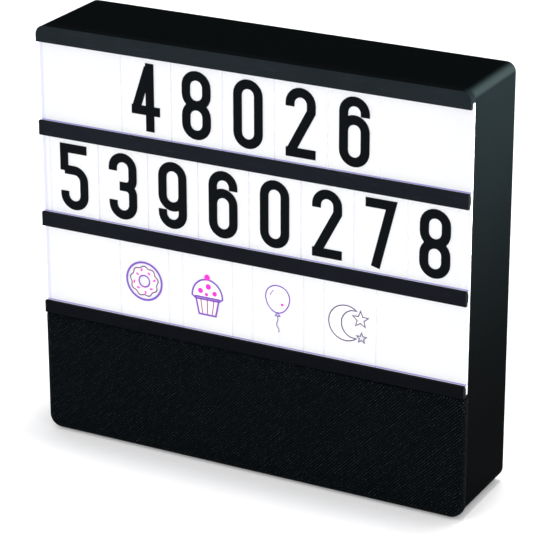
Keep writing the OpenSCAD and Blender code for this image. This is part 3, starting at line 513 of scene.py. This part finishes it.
def board_green():
    """Solder mask over fine copper tracks, with bright pads."""
    made, tree, shader = material("Board green", specular=0.5)
    place = object_place(tree)
    upright = node(tree, "Mapping", {"Vector": place, "Rotation": (math.pi / 2, 0, 0)}).outputs[0]
    track = node(tree, "TexBrick", {
        "Vector": upright, "Scale": 260.0, "Mortar Size": 0.06, "Color1": (0.010, 0.085, 0.030, 1.0),
        "Color2": (0.014, 0.11, 0.040, 1.0), "Mortar": (0.035, 0.19, 0.07, 1.0)}).outputs
    pads = node(tree, "TexVoronoi", {"Vector": place, "Scale": 240.0}, feature="F1")
    pad = span(pads.outputs["Distance"], 0.10, 0.16, 1.0, 0.0)
    feed(shader, Base_Color=mix(pad, track[0], (0.62, 0.60, 0.52)),
         Roughness=span(pad, 0.0, 1.0, 0.35, 0.25), Metallic=maths("MULTIPLY", pad, 0.9))
    bump(shader, track["Fac"], 0.00003)
    return made


# Mesh helpers


def surface(name, points, faces, uv=None, smooth=False):
    """A mesh object from an array of points and a list of faces, at the origin."""
    mesh = bpy.data.meshes.new(name)
    mesh.from_pydata(points.tolist(), [], faces, shade_flat=not smooth)
    if uv is not None:
        layer = mesh.uv_layers.new(name="UVMap")
        corner = np.empty(len(mesh.loops), dtype=np.int32)
        mesh.loops.foreach_get("vertex_index", corner)
        layer.data.foreach_set("uv", uv[corner].ravel())
    mesh.update()
    return place_object(name, mesh)


def place_object(name, data):
    """An object with a mesh, a camera or a lamp, in the scene."""
    made = bpy.data.objects.new(name, data)
    bpy.context.scene.collection.objects.link(made)
    return made


def ring_faces(rings, sides):
    """Quads between rings with the same number of points, each joined round to its start."""
    ring = np.arange(rings - 1)[:, None] * sides
    first = ring + np.arange(sides)
    second = ring + (np.arange(sides) + 1) % sides
    return np.stack([first, second, second + sides, first + sides], axis=-1).reshape(-1, 4)


def finish_piece(piece, finish, node_name, slot_name=None, stands_for_it=False):
    """Gives a piece its material, and the body of the CAD node that carries it or that it
    stands for; a node that it stands for is hidden."""
    piece.data.materials.append(finish)
    body = NODES[node_name]["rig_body"]
    if slot_name is None:
        slot_name = next(part["material_slot"] for part in frame["record"]["subparts"]
                         if part["node"] == node_name)
    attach(piece, body)
    if stands_for_it:
        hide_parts(node_name)
    return piece


def finish_nodes(finish, *names):
    """Gives CAD nodes a material."""
    for name in names:
        mesh = NODES[name].data
        mesh.materials.clear()
        mesh.materials.append(finish)


def eased(name, finish, radius):
    """A copy of a CAD node with its hard edges rounded, which stands for the node."""
    weld, flat_turn, sharp_turn = 1e-6, math.radians(0.5), math.radians(40)
    mesh = bpy.data.meshes.new(name + "_eased")
    work = bmesh.new()
    work.from_mesh(NODES[name].data)
    bmesh.ops.remove_doubles(work, verts=work.verts, dist=weld)
    bmesh.ops.dissolve_limit(
        work, angle_limit=flat_turn, verts=work.verts, edges=work.edges, delimit={"NORMAL"})
    work.to_mesh(mesh)
    work.free()
    made = place_object(name + "_eased", mesh)
    mesh.shade_smooth()
    round_off = made.modifiers.new("Round the edges", "BEVEL")
    round_off.width = radius
    round_off.segments = 2
    round_off.limit_method = "ANGLE"
    round_off.angle_limit = sharp_turn
    flat = made.modifiers.new("Keep the flat faces flat", "WEIGHTED_NORMAL")
    flat.keep_sharp = True
    return finish_piece(made, finish, name, stands_for_it=True)


# The stage


def lay_floor(settings):
    """A disc: rings of growing radius round the box's foot, with x = radius cos turn, y = radius sin turn."""
    inner_radii = (0.001, 0.3, 0.8, 2.0, 4.0)
    sides = 64
    turn = np.linspace(0.0, FULL_TURN, sides, endpoint=False)
    radius = np.array([*inner_radii, settings.floor_radius])[:, None]
    across = radius * np.cos(turn)
    points = np.stack([across, radius * np.sin(turn), np.zeros_like(across)], axis=-1)
    faces = ring_faces(len(radius), sides)[:, ::-1]
    floor = surface("floor", points.reshape(-1, 3), faces.tolist())
    made, tree, shader = material("Pale floor", Roughness=0.60, specular=0.0, Emission_Color=WHITE)
    cloud = noise(object_place(tree), 3.0)
    tone = mix(cloud, settings.floor_colour, scaled(settings.floor_colour, 1.02))
    lift = maths("MULTIPLY", seen_directly(tree), settings.floor_lift)
    feed(shader, Base_Color=tone, Emission_Strength=lift)
    floor.data.materials.append(made)


def set_backdrop(scene, settings):
    """A backdrop that is white near the horizon and dark under the ceiling."""
    horizon, ceiling = 0.06, 0.20
    world = bpy.data.worlds.new("Studio")
    scene.world = world
    world.use_nodes = True
    tree = world.node_tree
    tree.nodes.clear()
    rise = split(node(tree, "TexCoord").outputs["Generated"])[2]
    tone = mix(span(rise, horizon, ceiling), settings.sky_colour, settings.ceiling_colour)
    seen = node(tree, "Background", {0: tone, 1: 1.0}).outputs[0]
    fill = node(tree, "Background", {0: (*WHITE, 1.0), 1: settings.room_light}).outputs[0]
    mixed = node(tree, "MixShader", {0: seen_directly(tree), 1: fill, 2: seen}).outputs[0]
    node(tree, "OutputWorld", {0: mixed})
    scene.view_settings.view_transform = "Standard"


def softbox(name, place, target, side, power, tint=WHITE, spread=180.0):
    """A square soft lamp that looks at a target; a grid in front of it narrows its spread."""
    data = bpy.data.lights.new(name, "AREA")
    data.shape = "SQUARE"
    data.size = side
    data.spread = math.radians(spread)
    data.energy = power
    data.color = tint
    lamp = place_object(name, data)
    lamp.location = place
    lamp.rotation_euler = (Vector(target) - Vector(place)).to_track_quat("-Z", "Y").to_euler()


# Flat shapes for the prints: the digits in metres, the pictures and signs in millimetres


def arc(x, z, radius_x, radius_z, start, stop, steps=12):
    """Points along part of an ellipse, from angle start to stop in degrees:
    x + radius_x cos angle, z + radius_z sin angle."""
    turn = np.radians(np.linspace(start, stop, steps + 1))
    return np.stack([x + radius_x * np.cos(turn), z + radius_z * np.sin(turn)], axis=-1)


def circle(x, z, radius, count):
    """A closed circle of so many points."""
    return arc(x, z, radius, radius, 0, 360 - 360 / count, count - 1)


def path(*parts):
    """Points and arcs joined into one path, without doubled points."""
    points = np.concatenate([np.atleast_2d(np.asarray(part, dtype=float)) for part in parts])
    step = np.linalg.norm(np.diff(points, axis=0), axis=1)
    return points[np.concatenate([[True], step > 1e-6])]


def strip(points, width, closed=False):
    """A flat band of constant width along a path, with mitred joins: the path moved sideways by
    half the width each way, along the mean of the normals of the pieces that meet."""
    least_cosine = 0.45
    ahead = np.roll(points, -1, axis=0) - points
    if not closed:
        ahead[-1] = ahead[-2]
    ahead /= np.linalg.norm(ahead, axis=1)[:, None]
    behind = np.roll(ahead, 1, axis=0)
    if not closed:
        behind[0] = ahead[0]
    mean = ahead + behind
    mean /= np.maximum(np.linalg.norm(mean, axis=1), 1e-6)[:, None]
    normal = np.stack([-mean[:, 1], mean[:, 0]], axis=-1)
    reach = width / 2 / np.maximum(np.sum(mean * ahead, axis=1), least_cosine)
    both = np.stack([points - normal * reach[:, None], points + normal * reach[:, None]])
    count = len(points)
    index = np.arange(count if closed else count - 1)
    after = (index + 1) % count
    faces = np.stack([index, after, after + count, index + count], axis=-1)
    return both.reshape(-1, 2), faces.tolist()


def filled(points):
    """A flat shape inside one closed outline."""
    return points, [list(range(len(points)))]


def printed(name, shapes, unit, place, thickness, finish, carrier, slot_name=None):
    """Flat shapes drawn in X and Z about a place, as thin layers of ink, each a hair in front of the
    last, that ride with the node that carries them: place + (unit x, -hair layer, unit z)."""
    hair = 0.000002
    points, faces, total = [], [], 0
    for layer, (flat, flat_faces) in enumerate(shapes):
        level = np.full(len(flat), place[1] - layer * hair)
        points.append(np.stack([flat[:, 0] * unit + place[0], level, flat[:, 1] * unit + place[2]], axis=-1))
        for face in flat_faces:
            x, z = flat[face].T
            turned = np.sum(x * np.roll(z, -1) - np.roll(x, -1) * z)
            order = face if turned > 0 else face[::-1]
            faces.append([total + index for index in order])
        total += len(flat)
    made = surface(name, np.concatenate(points), faces)
    thick = made.modifiers.new("Ink", "SOLIDIFY")
    thick.thickness = thickness
    thick.offset = 1.0
    return finish_piece(made, finish, carrier, slot_name)


def digit_strips(width, height, stroke):
    """The ten digits as bands along their middle lines, centred on zero."""
    a = (width - stroke) / 2
    b = (height - stroke) / 2
    c = b - a
    top, bottom = height / 2, -height / 2
    left, right = -width / 2, width / 2
    hook, stem, bar, waist = 0.3 * a, 0.9 * MM, -0.45 * b, 0.2 * b
    upper = arc(0, c, a, a, 180, 0)
    lower = arc(0, -c, a, a, 0, -180)
    bowl = path(arc(0, -a * 0.75, a, a, 180, 0) + np.array([0, 0.3 * b]), lower)
    tail = path((-a, -0.1 * b), upper, (a, c - hook))
    high_turn = arc(0.3 * a, 0.7 * a, 0.7 * a, 0.7 * a, 0, -90)
    low_turn = arc(0.3 * a, -0.7 * a, 0.7 * a, 0.7 * a, 90, 0)

    def line(*parts):
        """A band with two ends."""
        return strip(path(*parts), stroke)

    def ring(*parts):
        """A band that closes on itself."""
        return strip(path(*parts), stroke, closed=True)

    return {
        "0": [ring(upper, lower)],
        "1": [line((stem, bottom), (stem, top)), line((-4.4 * MM, b - 5.6 * MM), (stem, b - 0.1 * MM))],
        "2": [line((-a, c - hook), upper, (a, c - 0.6 * a), (-a, -b)), line((left, -b), (right, -b))],
        "3": [line((-a, c - hook), upper, (a, 0.7 * a), high_turn, (-0.35 * a, 0)),
              line((-0.35 * a, 0), low_turn, lower, (-a, -c + hook))],
        "4": [line((0.42 * a, bottom), (0.42 * a, top)), line((left, bar), (right, bar)),
              line((-a, bar), (0.30 * a, b))],
        "5": [line((right - 0.4 * MM, b), (-a, b), (-a, waist)),
              line((-a, waist + a * 0.12), arc(0, waist - a * 0.88, a, a, 90, 0), lower, (-a, -c + hook))],
        "6": [ring(bowl), line(tail)],
        "7": [line((left, b), (a, b), (-0.45 * a, bottom))],
        "8": [ring(upper, arc(0, a, a, a, 0, -180)), ring(arc(0, -a, a, a, 180, 0), lower)],
        "9": [ring(-bowl), line(-tail)],
    }


def ring_cake():
    """A ring cake: two circles, a wavy icing line and short sprinkles round the ring."""
    turn = np.radians(np.arange(0, 360, 6))
    wave = 7.2 + 0.45 * np.sin(9 * turn)
    icing = np.stack([wave * np.cos(turn), wave * np.sin(turn)], axis=-1)
    angles = np.radians([12, 58, 104, 139, 190, 228, 276, 318])
    sprinkles = []
    for angle, far in zip(angles, (5.6, 4.9, 5.7, 4.8, 5.5, 4.9, 5.6, 5.0)):
        middle = np.array([far * math.cos(angle), far * math.sin(angle)])
        lean = np.array([math.cos(angle * 2.3), math.sin(angle * 2.3)]) * 0.75
        sprinkles.append(strip(np.stack([middle - lean, middle + lean]), 0.85))
    return [
        ("blush", [strip(circle(0, 0, 5.1, 60), 3.8, True)]),
        ("violet", [strip(circle(0, 0, 9.4, 60), 1.0, True), strip(circle(0, 0, 2.9, 36), 0.75, True)]),
        ("grape", [strip(icing, 0.55, True)]),
        ("magenta", sprinkles),
    ]


def cup_cake():
    """A small cake in a pleated cup, with a domed top and round berries."""
    cup = np.array([[-6.2, -2.0], [-4.4, -10.6], [4.4, -10.6], [6.2, -2.0]])
    dome = path(arc(0, -1.6, 8.0, 8.6, 0, 180, 24), (-6.2, -3.0), (6.2, -3.0))
    pleats = [strip(np.array([[x * 1.35, -2.6], [x, -10.0]]), 0.45) for x in (-2.6, 0.0, 2.6)]
    berries = [filled(circle(x, z, r, 24)) for x, z, r in (
        (-3.6, 1.1, 1.35), (0.6, 3.6, 1.45), (3.9, 0.6, 1.25), (-0.4, -0.4, 0.9), (0.0, 8.2, 1.5))]
    return [
        ("cream", [filled(dome)]),
        ("blush", [filled(cup)]),
        ("violet", [strip(dome, 0.9, True), strip(cup, 0.9, True)]),
        ("grape", pleats),
        ("magenta", berries),
    ]


def balloon():
    """A balloon: an egg-shaped outline, its knot and a string that waves down."""
    turn = np.radians(np.arange(0, 360, 8))
    egg = np.stack([6.1 * np.cos(turn) * (1 + 0.12 * np.sin(turn)), 4.3 + 6.7 * np.sin(turn)], axis=-1)
    fall = np.linspace(0, 1, 24)
    string = np.stack([0.9 * np.sin(fall * 9.0) * fall, -3.6 - 8.4 * fall], axis=-1)
    knot = np.array([[0.0, -2.2], [-1.2, -4.0], [1.2, -4.0]])
    shine = arc(0, 4.6, 3.9, 4.5, 118, 168, 8)
    return [
        ("cream", [filled(egg)]),
        ("violet", [strip(egg, 0.65, True), strip(knot, 0.5, True), strip(shine, 0.5)]),
        ("grape", [strip(string, 0.42)]),
        ("magenta", [filled(circle(2.4, 2.0, 0.75, 12))]),
    ]


def moon():
    """A crescent: two arcs of unequal radius, with two five-pointed stars."""
    crescent = path(arc(-2.0, -0.6, 8.6, 8.6, 52, 308, 34), arc(2.6, -0.6, 6.9, 6.9, 256, 104, 24))

    def star(x, z, radius):
        """Ten points, alternately far from and near to the middle."""
        turn = np.radians(90 + 36 * np.arange(10))
        reach = np.where(np.arange(10) % 2, 0.42, 1.0) * radius
        return np.stack([x + reach * np.cos(turn), z + reach * np.sin(turn)], axis=-1)

    large, small = star(5.4, 2.4, 4.1), star(6.0, -6.6, 2.6)
    return [
        ("cream", [filled(crescent), filled(large)]),
        ("grape", [strip(crescent, 0.6, True), strip(large, 0.55, True), strip(small, 0.5, True)]),
    ]


def key_marks():
    """The signs on the five buttons, in white ink."""
    bold, medium, thin = 0.5, 0.4, 0.35
    level = strip(np.array([[-1.5, 0], [1.5, 0]]), bold)
    upright = strip(np.array([[0, -1.5], [0, 1.5]]), bold)
    return {
        "power_button": [strip(arc(0, 0, 1.6, 1.6, 125, 415, 20), medium),
                         strip(np.array([[0, 0.3], [0, 2.1]]), medium)],
        "volume_down_button": [level],
        "play_button": [filled(np.array([[1.2, -1.5], [1.2, 1.5], [-1.5, 0]]))],
        "volume_up_button": [level, upright],
        "pairing_button": [strip(circle(-0.9, 0, 0.9, 24), thin, True),
                           strip(circle(0.9, 0, 0.9, 24), thin, True)],
    }


def window_middle(below, above):
    """The middle height of the window between two rails."""
    return (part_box(below)[1].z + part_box(above)[0].z) / 2


# The grille's cloth


def grille_outline(inset, settings, low, high):
    """The grille's outline drawn in by inset: four sides and four quarter circles, with the same
    number of points on each, so that the loops of all insets join into quads."""
    x = high.x - inset
    bottom = low.z + inset
    top = high.z - inset * settings.top_ease
    low_r = max(settings.corner_radius - inset, 0.0)
    top_r = settings.top_radius
    points_along, points_up, points_round = 60, 16, 10
    along, up, corner = (np.linspace(0.0, 1.0, count, endpoint=False)[:, None]
                         for count in (points_along, points_up, points_round))

    def side(first, second, share):
        """Points on a straight side: first + share (second - first)."""
        return np.array(first) + share * (np.array(second) - np.array(first))

    def bend(cx, cz, radius, start):
        """Points on a quarter circle round a corner's middle."""
        turn = np.radians(start + 90.0 * corner)
        return np.hstack([cx + radius * np.cos(turn), cz + radius * np.sin(turn)])

    return np.concatenate([
        side((-x + low_r, bottom), (x - low_r, bottom), along),
        bend(x - low_r, bottom + low_r, low_r, -90),
        side((x, bottom + low_r), (x, top - top_r), up),
        bend(x - top_r, top - top_r, top_r, 0),
        side((x - top_r, top), (-x + top_r, top), along),
        bend(-x + top_r, top - top_r, top_r, 90),
        side((-x, top - top_r), (-x, bottom + low_r), up),
        bend(-x + low_r, bottom + low_r, low_r, 180),
    ])


def wrap_cloth(settings, low, high):
    """Loops from a thin eye in the middle of the flat front outwards to its rim, then round the
    quarter turn of the front edge and straight back; the map goes on outwards by the length along
    the cloth. A loop of the front lies at a share of the way from the rim to a line through the
    middle: p = rim + share (line - rim), with line = (line_share x, middle)."""
    eye_share, line_share = 0.96, 0.72
    front_loops, edge_loops, side_loops = 25, 9, 4
    radius = settings.edge_radius
    rim = grille_outline(radius, settings, low, high)
    outer = grille_outline(0.0, settings, low, high)
    line = np.stack([rim[:, 0] * line_share, np.full(len(rim), (low.z + high.z) / 2)], axis=-1)
    outward = outer - rim
    outward /= np.linalg.norm(outward, axis=1)[:, None]
    rings, maps = [], []

    def lay(flat, depth, mapped):
        """Adds one loop: its points in X and Z, its depth, and its points on the map."""
        rings.append(np.stack([flat[:, 0], np.full(len(flat), depth), flat[:, 1]], axis=-1))
        maps.append(mapped)

    for share in np.linspace(eye_share, 0.0, front_loops):
        flat = rim + share * (line - rim)
        lay(flat, low.y, flat)
    for turn in np.radians(np.linspace(0, 90, edge_loops))[1:]:
        flat = grille_outline(radius * (1 - math.sin(turn)), settings, low, high)
        lay(flat, low.y + radius * (1 - math.cos(turn)), rim + outward * radius * turn)
    for depth in np.linspace(low.y + radius, high.y, side_loops)[1:]:
        lay(outer, depth, rim + outward * (radius * math.pi / 2 + depth - low.y - radius))
    return np.array(rings), np.array(maps)


# Operators


class Step(bpy.types.Operator):
    """One step of the light box."""
    bl_options = {"REGISTER", "UNDO"}


class LIGHTBOX_OT_camera(Step):
    """Places the camera where the picture was taken from."""
    bl_idname = "lightbox.camera"
    bl_label = "Camera"

    def execute(self, context):
        settings = context.scene.lightbox_stage
        data = bpy.data.cameras.new("Camera")
        data.lens = settings.lens
        camera = place_object("Camera", data)
        camera.location = settings.camera_place
        camera.rotation_euler = settings.camera_turn
        context.scene.camera = camera
        return {"FINISHED"}


class LIGHTBOX_OT_stage(Step):
    """Lays the pale floor and sets the backdrop and the soft studio lights."""
    bl_idname = "lightbox.stage"
    bl_label = "Floor and lights"

    def execute(self, context):
        settings = context.scene.lightbox_stage
        lay_floor(settings)
        set_backdrop(context.scene, settings)
        softbox("Overhead softbox", place=(0.09, 0.20, 2.0), target=(0.0, 0.0, 0.0), side=0.34, power=21.5)
        softbox("Right softbox with a grid", place=(3.1, 0.03, 0.22), target=(0.11, 0.01, 0.24), side=0.12,
                power=2.3, tint=(0.94, 1.0, 0.97), spread=5.8)
        softbox("Left softbox with a grid", place=(-3.1, 0.03, 0.22), target=(-0.11, 0.01, 0.24), side=0.12,
                power=0.8, spread=6.6)
        softbox("Front softbox", place=(-0.9, -1.5, 1.5), target=(0.0, 0.0, 0.1), side=1.2, power=8.0,
                tint=(0.97, 0.99, 1.0))
        return {"FINISHED"}


class LIGHTBOX_OT_casing(Step):
    """Finishes the casing, the back cover, its screws and the feet."""
    bl_idname = "lightbox.casing"
    bl_label = "Casing and cover"

    def execute(self, context):
        settings = context.scene.lightbox_box
        # The casing's rounded upper edges carry a painted highlight.
        shell = plastic("Casing plastic", settings.casing_colour, 0.50, dust=0.03, painted_edge_highlight=settings.painted_edge_highlight_colour,
                        specular=0.0020)
        eased("casing", shell, settings.edge_radius)
        cover = plastic("Cover plastic", settings.cover_colour, 0.45, dust=0.05, specular=0.20)
        finish_nodes(cover, "back_cover")
        rubber = plastic("Foot rubber", (0.012, 0.012, 0.013), 0.82, grain=5200.0, depth=0.00005,
                         specular=0.3)
        finish_nodes(rubber, "rubber_feet")
        finish_nodes(steel("Blackened steel", (0.045, 0.047, 0.050), 0.42), "back_cover_screws")
        return {"FINISHED"}


class LIGHTBOX_OT_rails(Step):
    """Finishes the four rails and their screws."""
    bl_idname = "lightbox.rails"
    bl_label = "Rails"

    def execute(self, context):
        settings = context.scene.lightbox_box
        # The top rail's front carries painted light.
        cap = plastic("Top rail plastic", settings.casing_colour, 0.55, scuffs=2.2, dust=0.10, lighter=2.8,
                      painted_front_light=settings.cap_front_light_colour, specular=0.004, Specular_Tint=(0.88, 0.97, 1.0))
        eased("top_rail", cap, settings.edge_radius)
        # The rails' fronts carry painted light, weaker on each lower rail.
        for name, share in (("upper_rail", 1.0), ("lower_rail", 0.75), ("base_rail", 0.35)):
            rail = plastic(name.replace("_", " ").capitalize() + " plastic", settings.casing_colour, 0.48,
                           scuffs=2.2, dust=0.30, lighter=2.8, painted_front_light=scaled(settings.rail_front_light_colour, share),
                           specular=0.02, Specular_Tint=(0.74, 0.78, 1.0))
            eased(name, rail, settings.edge_radius)
        finish_nodes(steel("Screw steel", (0.52, 0.52, 0.50), 0.30), "rail_screws", "baffle_screws",
                     "speaker_screws", "board_screws")
        return {"FINISHED"}


class LIGHTBOX_OT_panel(Step):
    """Finishes the lit panel and the film of the tiles."""
    bl_idname = "lightbox.panel"
    bl_label = "Panel and film"

    def execute(self, context):
        settings = context.scene.lightbox_panel
        finish_nodes(lit_opal(settings), "diffuser_panel")
        for name, count in TILES.items():
            finish_nodes(film(name, count, settings), name)
        return {"FINISHED"}


class LIGHTBOX_OT_numbers(Step):
    """Prints the numbers on the tiles of the top and middle rows."""
    bl_idname = "lightbox.numbers"
    bl_label = "Numbers"

    def execute(self, context):
        settings = context.scene.lightbox_print
        digits = digit_strips(settings.digit_w, settings.digit_h, settings.digit_stroke)
        black = ink("Black ink", settings.ink)
        rows = (("number_tiles_row_1", settings.row_1, window_middle("upper_rail", "top_rail")),
                ("number_tiles_row_2", settings.row_2, window_middle("lower_rail", "upper_rail")))
        for tiles, text, middle in rows:
            low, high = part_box(tiles)
            pitch = (high.x - low.x) / TILES[tiles]
            for place, digit in enumerate(text[:TILES[tiles]]):
                spot = (low.x + pitch * (place + 0.5), low.y - settings.print_t, middle)
                printed(f"{tiles}_number_{place + 1}", digits[digit], 1.0, spot, settings.print_t, black,
                        tiles, "control_black")
        return {"FINISHED"}


class LIGHTBOX_OT_pictures(Step):
    """Prints the four small pictures on the tiles of the bottom row."""
    bl_idname = "lightbox.pictures"
    bl_label = "Pictures"

    def execute(self, context):
        settings = context.scene.lightbox_print
        inks = {name: ink(name.capitalize() + " ink", getattr(settings, name), settings.through)
                for name in ("violet", "grape", "magenta", "blush", "cream")}
        middle = window_middle("base_rail", "lower_rail")
        for tile, picture in zip(PICTURE_TILES, (ring_cake, cup_cake, balloon, moon)):
            low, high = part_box(tile)
            for layer, (name, shapes) in enumerate(picture()):
                spot = ((low.x + high.x) / 2, low.y - settings.print_t * (layer + 1), middle)
                printed(f"{tile}_{layer}_{name}", shapes, MM, spot, settings.print_t, inks[name], tile)
        return {"FINISHED"}


class LIGHTBOX_OT_grille(Step):
    """Stretches the woven cloth over the grille's frame."""
    bl_idname = "lightbox.grille"
    bl_label = "Grille cloth"

    def execute(self, context):
        settings = context.scene.lightbox_grille
        low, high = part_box("grille_cloth")
        points, mapped = wrap_cloth(settings, low, high)
        rings, count = points.shape[:2]
        points = points.reshape(-1, 3)
        faces = ring_faces(rings, count)
        eye = list(range(count))[::-1]
        piece = surface("grille_sheet", points, faces.tolist() + [eye], mapped.reshape(-1, 2), smooth=True)
        thick = piece.modifiers.new("Cloth", "SOLIDIFY")
        thick.thickness = settings.cloth_t
        thick.offset = -1.0
        finish_piece(piece, grille_twill(settings), "grille_cloth", stands_for_it=True)
        frame_black = plastic("Frame plastic", (0.010, 0.011, 0.012), 0.6, specular=0.3)
        finish_nodes(frame_black, "grille_frame", "speaker_baffle", "battery_holder")
        return {"FINISHED"}


class LIGHTBOX_OT_controls(Step):
    """Finishes the buttons, the switch and the sockets on the back."""
    bl_idname = "lightbox.controls"
    bl_label = "Controls"

    def execute(self, context):
        settings = context.scene.lightbox_box
        control = plastic(
            "Control plastic", settings.control_colour, 0.38, depth=0.00001, specular=0.4)
        marks = key_marks()
        finish_nodes(control, *marks, "light_switch_slider", "headphone_socket")
        finish_nodes(steel("Socket steel", (0.58, 0.58, 0.57), 0.26), "charging_socket", "light_switch_body")
        white = ink("White ink", (0.62, 0.63, 0.64))
        layer = 0.00002
        for name, shapes in marks.items():
            low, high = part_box(name)
            spot = ((low.x + high.x) / 2, high.y + layer, (low.z + high.z) / 2)
            printed(name + "_mark", shapes, MM, spot, layer, white, name).data.flip_normals()
        return {"FINISHED"}


class LIGHTBOX_OT_speakers(Step):
    """Finishes the two speakers behind the grille."""
    bl_idname = "lightbox.speakers"
    bl_label = "Speakers"

    def execute(self, context):
        finishes = {
            "surround": plastic(
                "Surround rubber", (0.010, 0.010, 0.011), 0.7, grain=4200.0, depth=0.00003,
                specular=0.35),
            "basket": steel("Basket steel", (0.11, 0.115, 0.12), 0.45),
            "magnet": mottled(
                "Ferrite", (0.030, 0.030, 0.032), (0.065, 0.063, 0.060), scale=2200.0, depth=0.00005,
                rough=0.7, Roughness=0.7, specular=0.4),
            "cone": mottled(
                "Cone paper", (0.012, 0.012, 0.013), (0.035, 0.034, 0.033), scale=1300.0, depth=0.00008,
                detail=5.0, rough=0.75, stretch=(1.0, 1.0, 2.6), Roughness=0.9, specular=0.15),
        }
        for part, finish in finishes.items():
            finish_nodes(finish, f"left_speaker_{part}", f"right_speaker_{part}")
        return {"FINISHED"}


class LIGHTBOX_OT_inside(Step):
    """Finishes the reflector, the lights, the board, the battery and the leads."""
    bl_idname = "lightbox.inside"
    bl_label = "Lights and electronics"

    def execute(self, context):
        white = plastic("Reflector white", (0.80, 0.80, 0.79), 0.45, lighter=1.06, dust=0.1,
                        specular=0.4)
        finish_nodes(white, "reflector_tray")
        strip_white = plastic("Strip white", (0.70, 0.71, 0.70), 0.5, lighter=1.1, grain=3600.0)
        finish_nodes(strip_white, "led_strip_top", "led_strip_middle", "led_strip_bottom")
        finish_nodes(led_lens(), "led_chips")
        finish_nodes(board_green(), "main_board")
        chip = plastic("Moulded chip", (0.018, 0.018, 0.020), 0.62, grain=5000.0)
        finish_nodes(chip, "board_components", "key_switches")
        sleeve = mottled("Cell sleeve", (0.030, 0.10, 0.30), (0.045, 0.14, 0.38), scale=160.0, depth=0.0001,
                         rough=0.6, stretch=(4.0, 1.0, 1.0), Roughness=0.3, specular=0.5)
        finish_nodes(sleeve, "battery_cells")
        leads = {"led_leads": (0.42, 0.025, 0.020), "speaker_leads": (0.030, 0.07, 0.34),
                 "battery_lead": (0.60, 0.38, 0.035)}
        for name, tone in leads.items():
            lead = plastic(name.replace("_", " ").capitalize(), tone, 0.42, lighter=1.15, grain=3000.0)
            finish_nodes(lead, name)
        return {"FINISHED"}


STEPS = (LIGHTBOX_OT_camera, LIGHTBOX_OT_stage, LIGHTBOX_OT_casing, LIGHTBOX_OT_rails, LIGHTBOX_OT_panel,
         LIGHTBOX_OT_numbers, LIGHTBOX_OT_pictures, LIGHTBOX_OT_grille, LIGHTBOX_OT_controls,
         LIGHTBOX_OT_speakers, LIGHTBOX_OT_inside)
SETTINGS = {"lightbox_stage": StageSettings, "lightbox_box": BoxSettings, "lightbox_panel": PanelSettings,
            "lightbox_print": PrintSettings, "lightbox_grille": GrilleSettings}


class LIGHTBOX_PT_steps(bpy.types.Panel):
    """The steps of the light box, in the 3D view's sidebar."""
    bl_idname = "LIGHTBOX_PT_steps"
    bl_label = "Light box"
    bl_space_type = "VIEW_3D"
    bl_region_type = "UI"
    bl_category = "Light box"

    def draw(self, context):
        for step in STEPS:
            self.layout.operator(step.bl_idname)


def register():
    """Adds the settings, the steps and their panel."""
    for name, kind in SETTINGS.items():
        bpy.utils.register_class(kind)
        setattr(bpy.types.Scene, name, PointerProperty(type=kind))
    for kind in (*STEPS, LIGHTBOX_PT_steps):
        bpy.utils.register_class(kind)


def unregister():
    """Takes the panel, the steps and the settings away again."""
    for kind in (LIGHTBOX_PT_steps, *reversed(STEPS)):
        bpy.utils.unregister_class(kind)
    for name, kind in reversed(SETTINGS.items()):
        delattr(bpy.types.Scene, name)
        bpy.utils.unregister_class(kind)


def main():
    """Runs the steps in order."""
    register()
    bpy.ops.lightbox.camera()
    bpy.ops.lightbox.stage()
    bpy.ops.lightbox.casing()
    bpy.ops.lightbox.rails()
    bpy.ops.lightbox.panel()
    bpy.ops.lightbox.numbers()
    bpy.ops.lightbox.pictures()
    bpy.ops.lightbox.grille()
    bpy.ops.lightbox.controls()
    bpy.ops.lightbox.speakers()
    bpy.ops.lightbox.inside()
    bpy.context.view_layer.update()


if __name__ == "__main__":
    main()
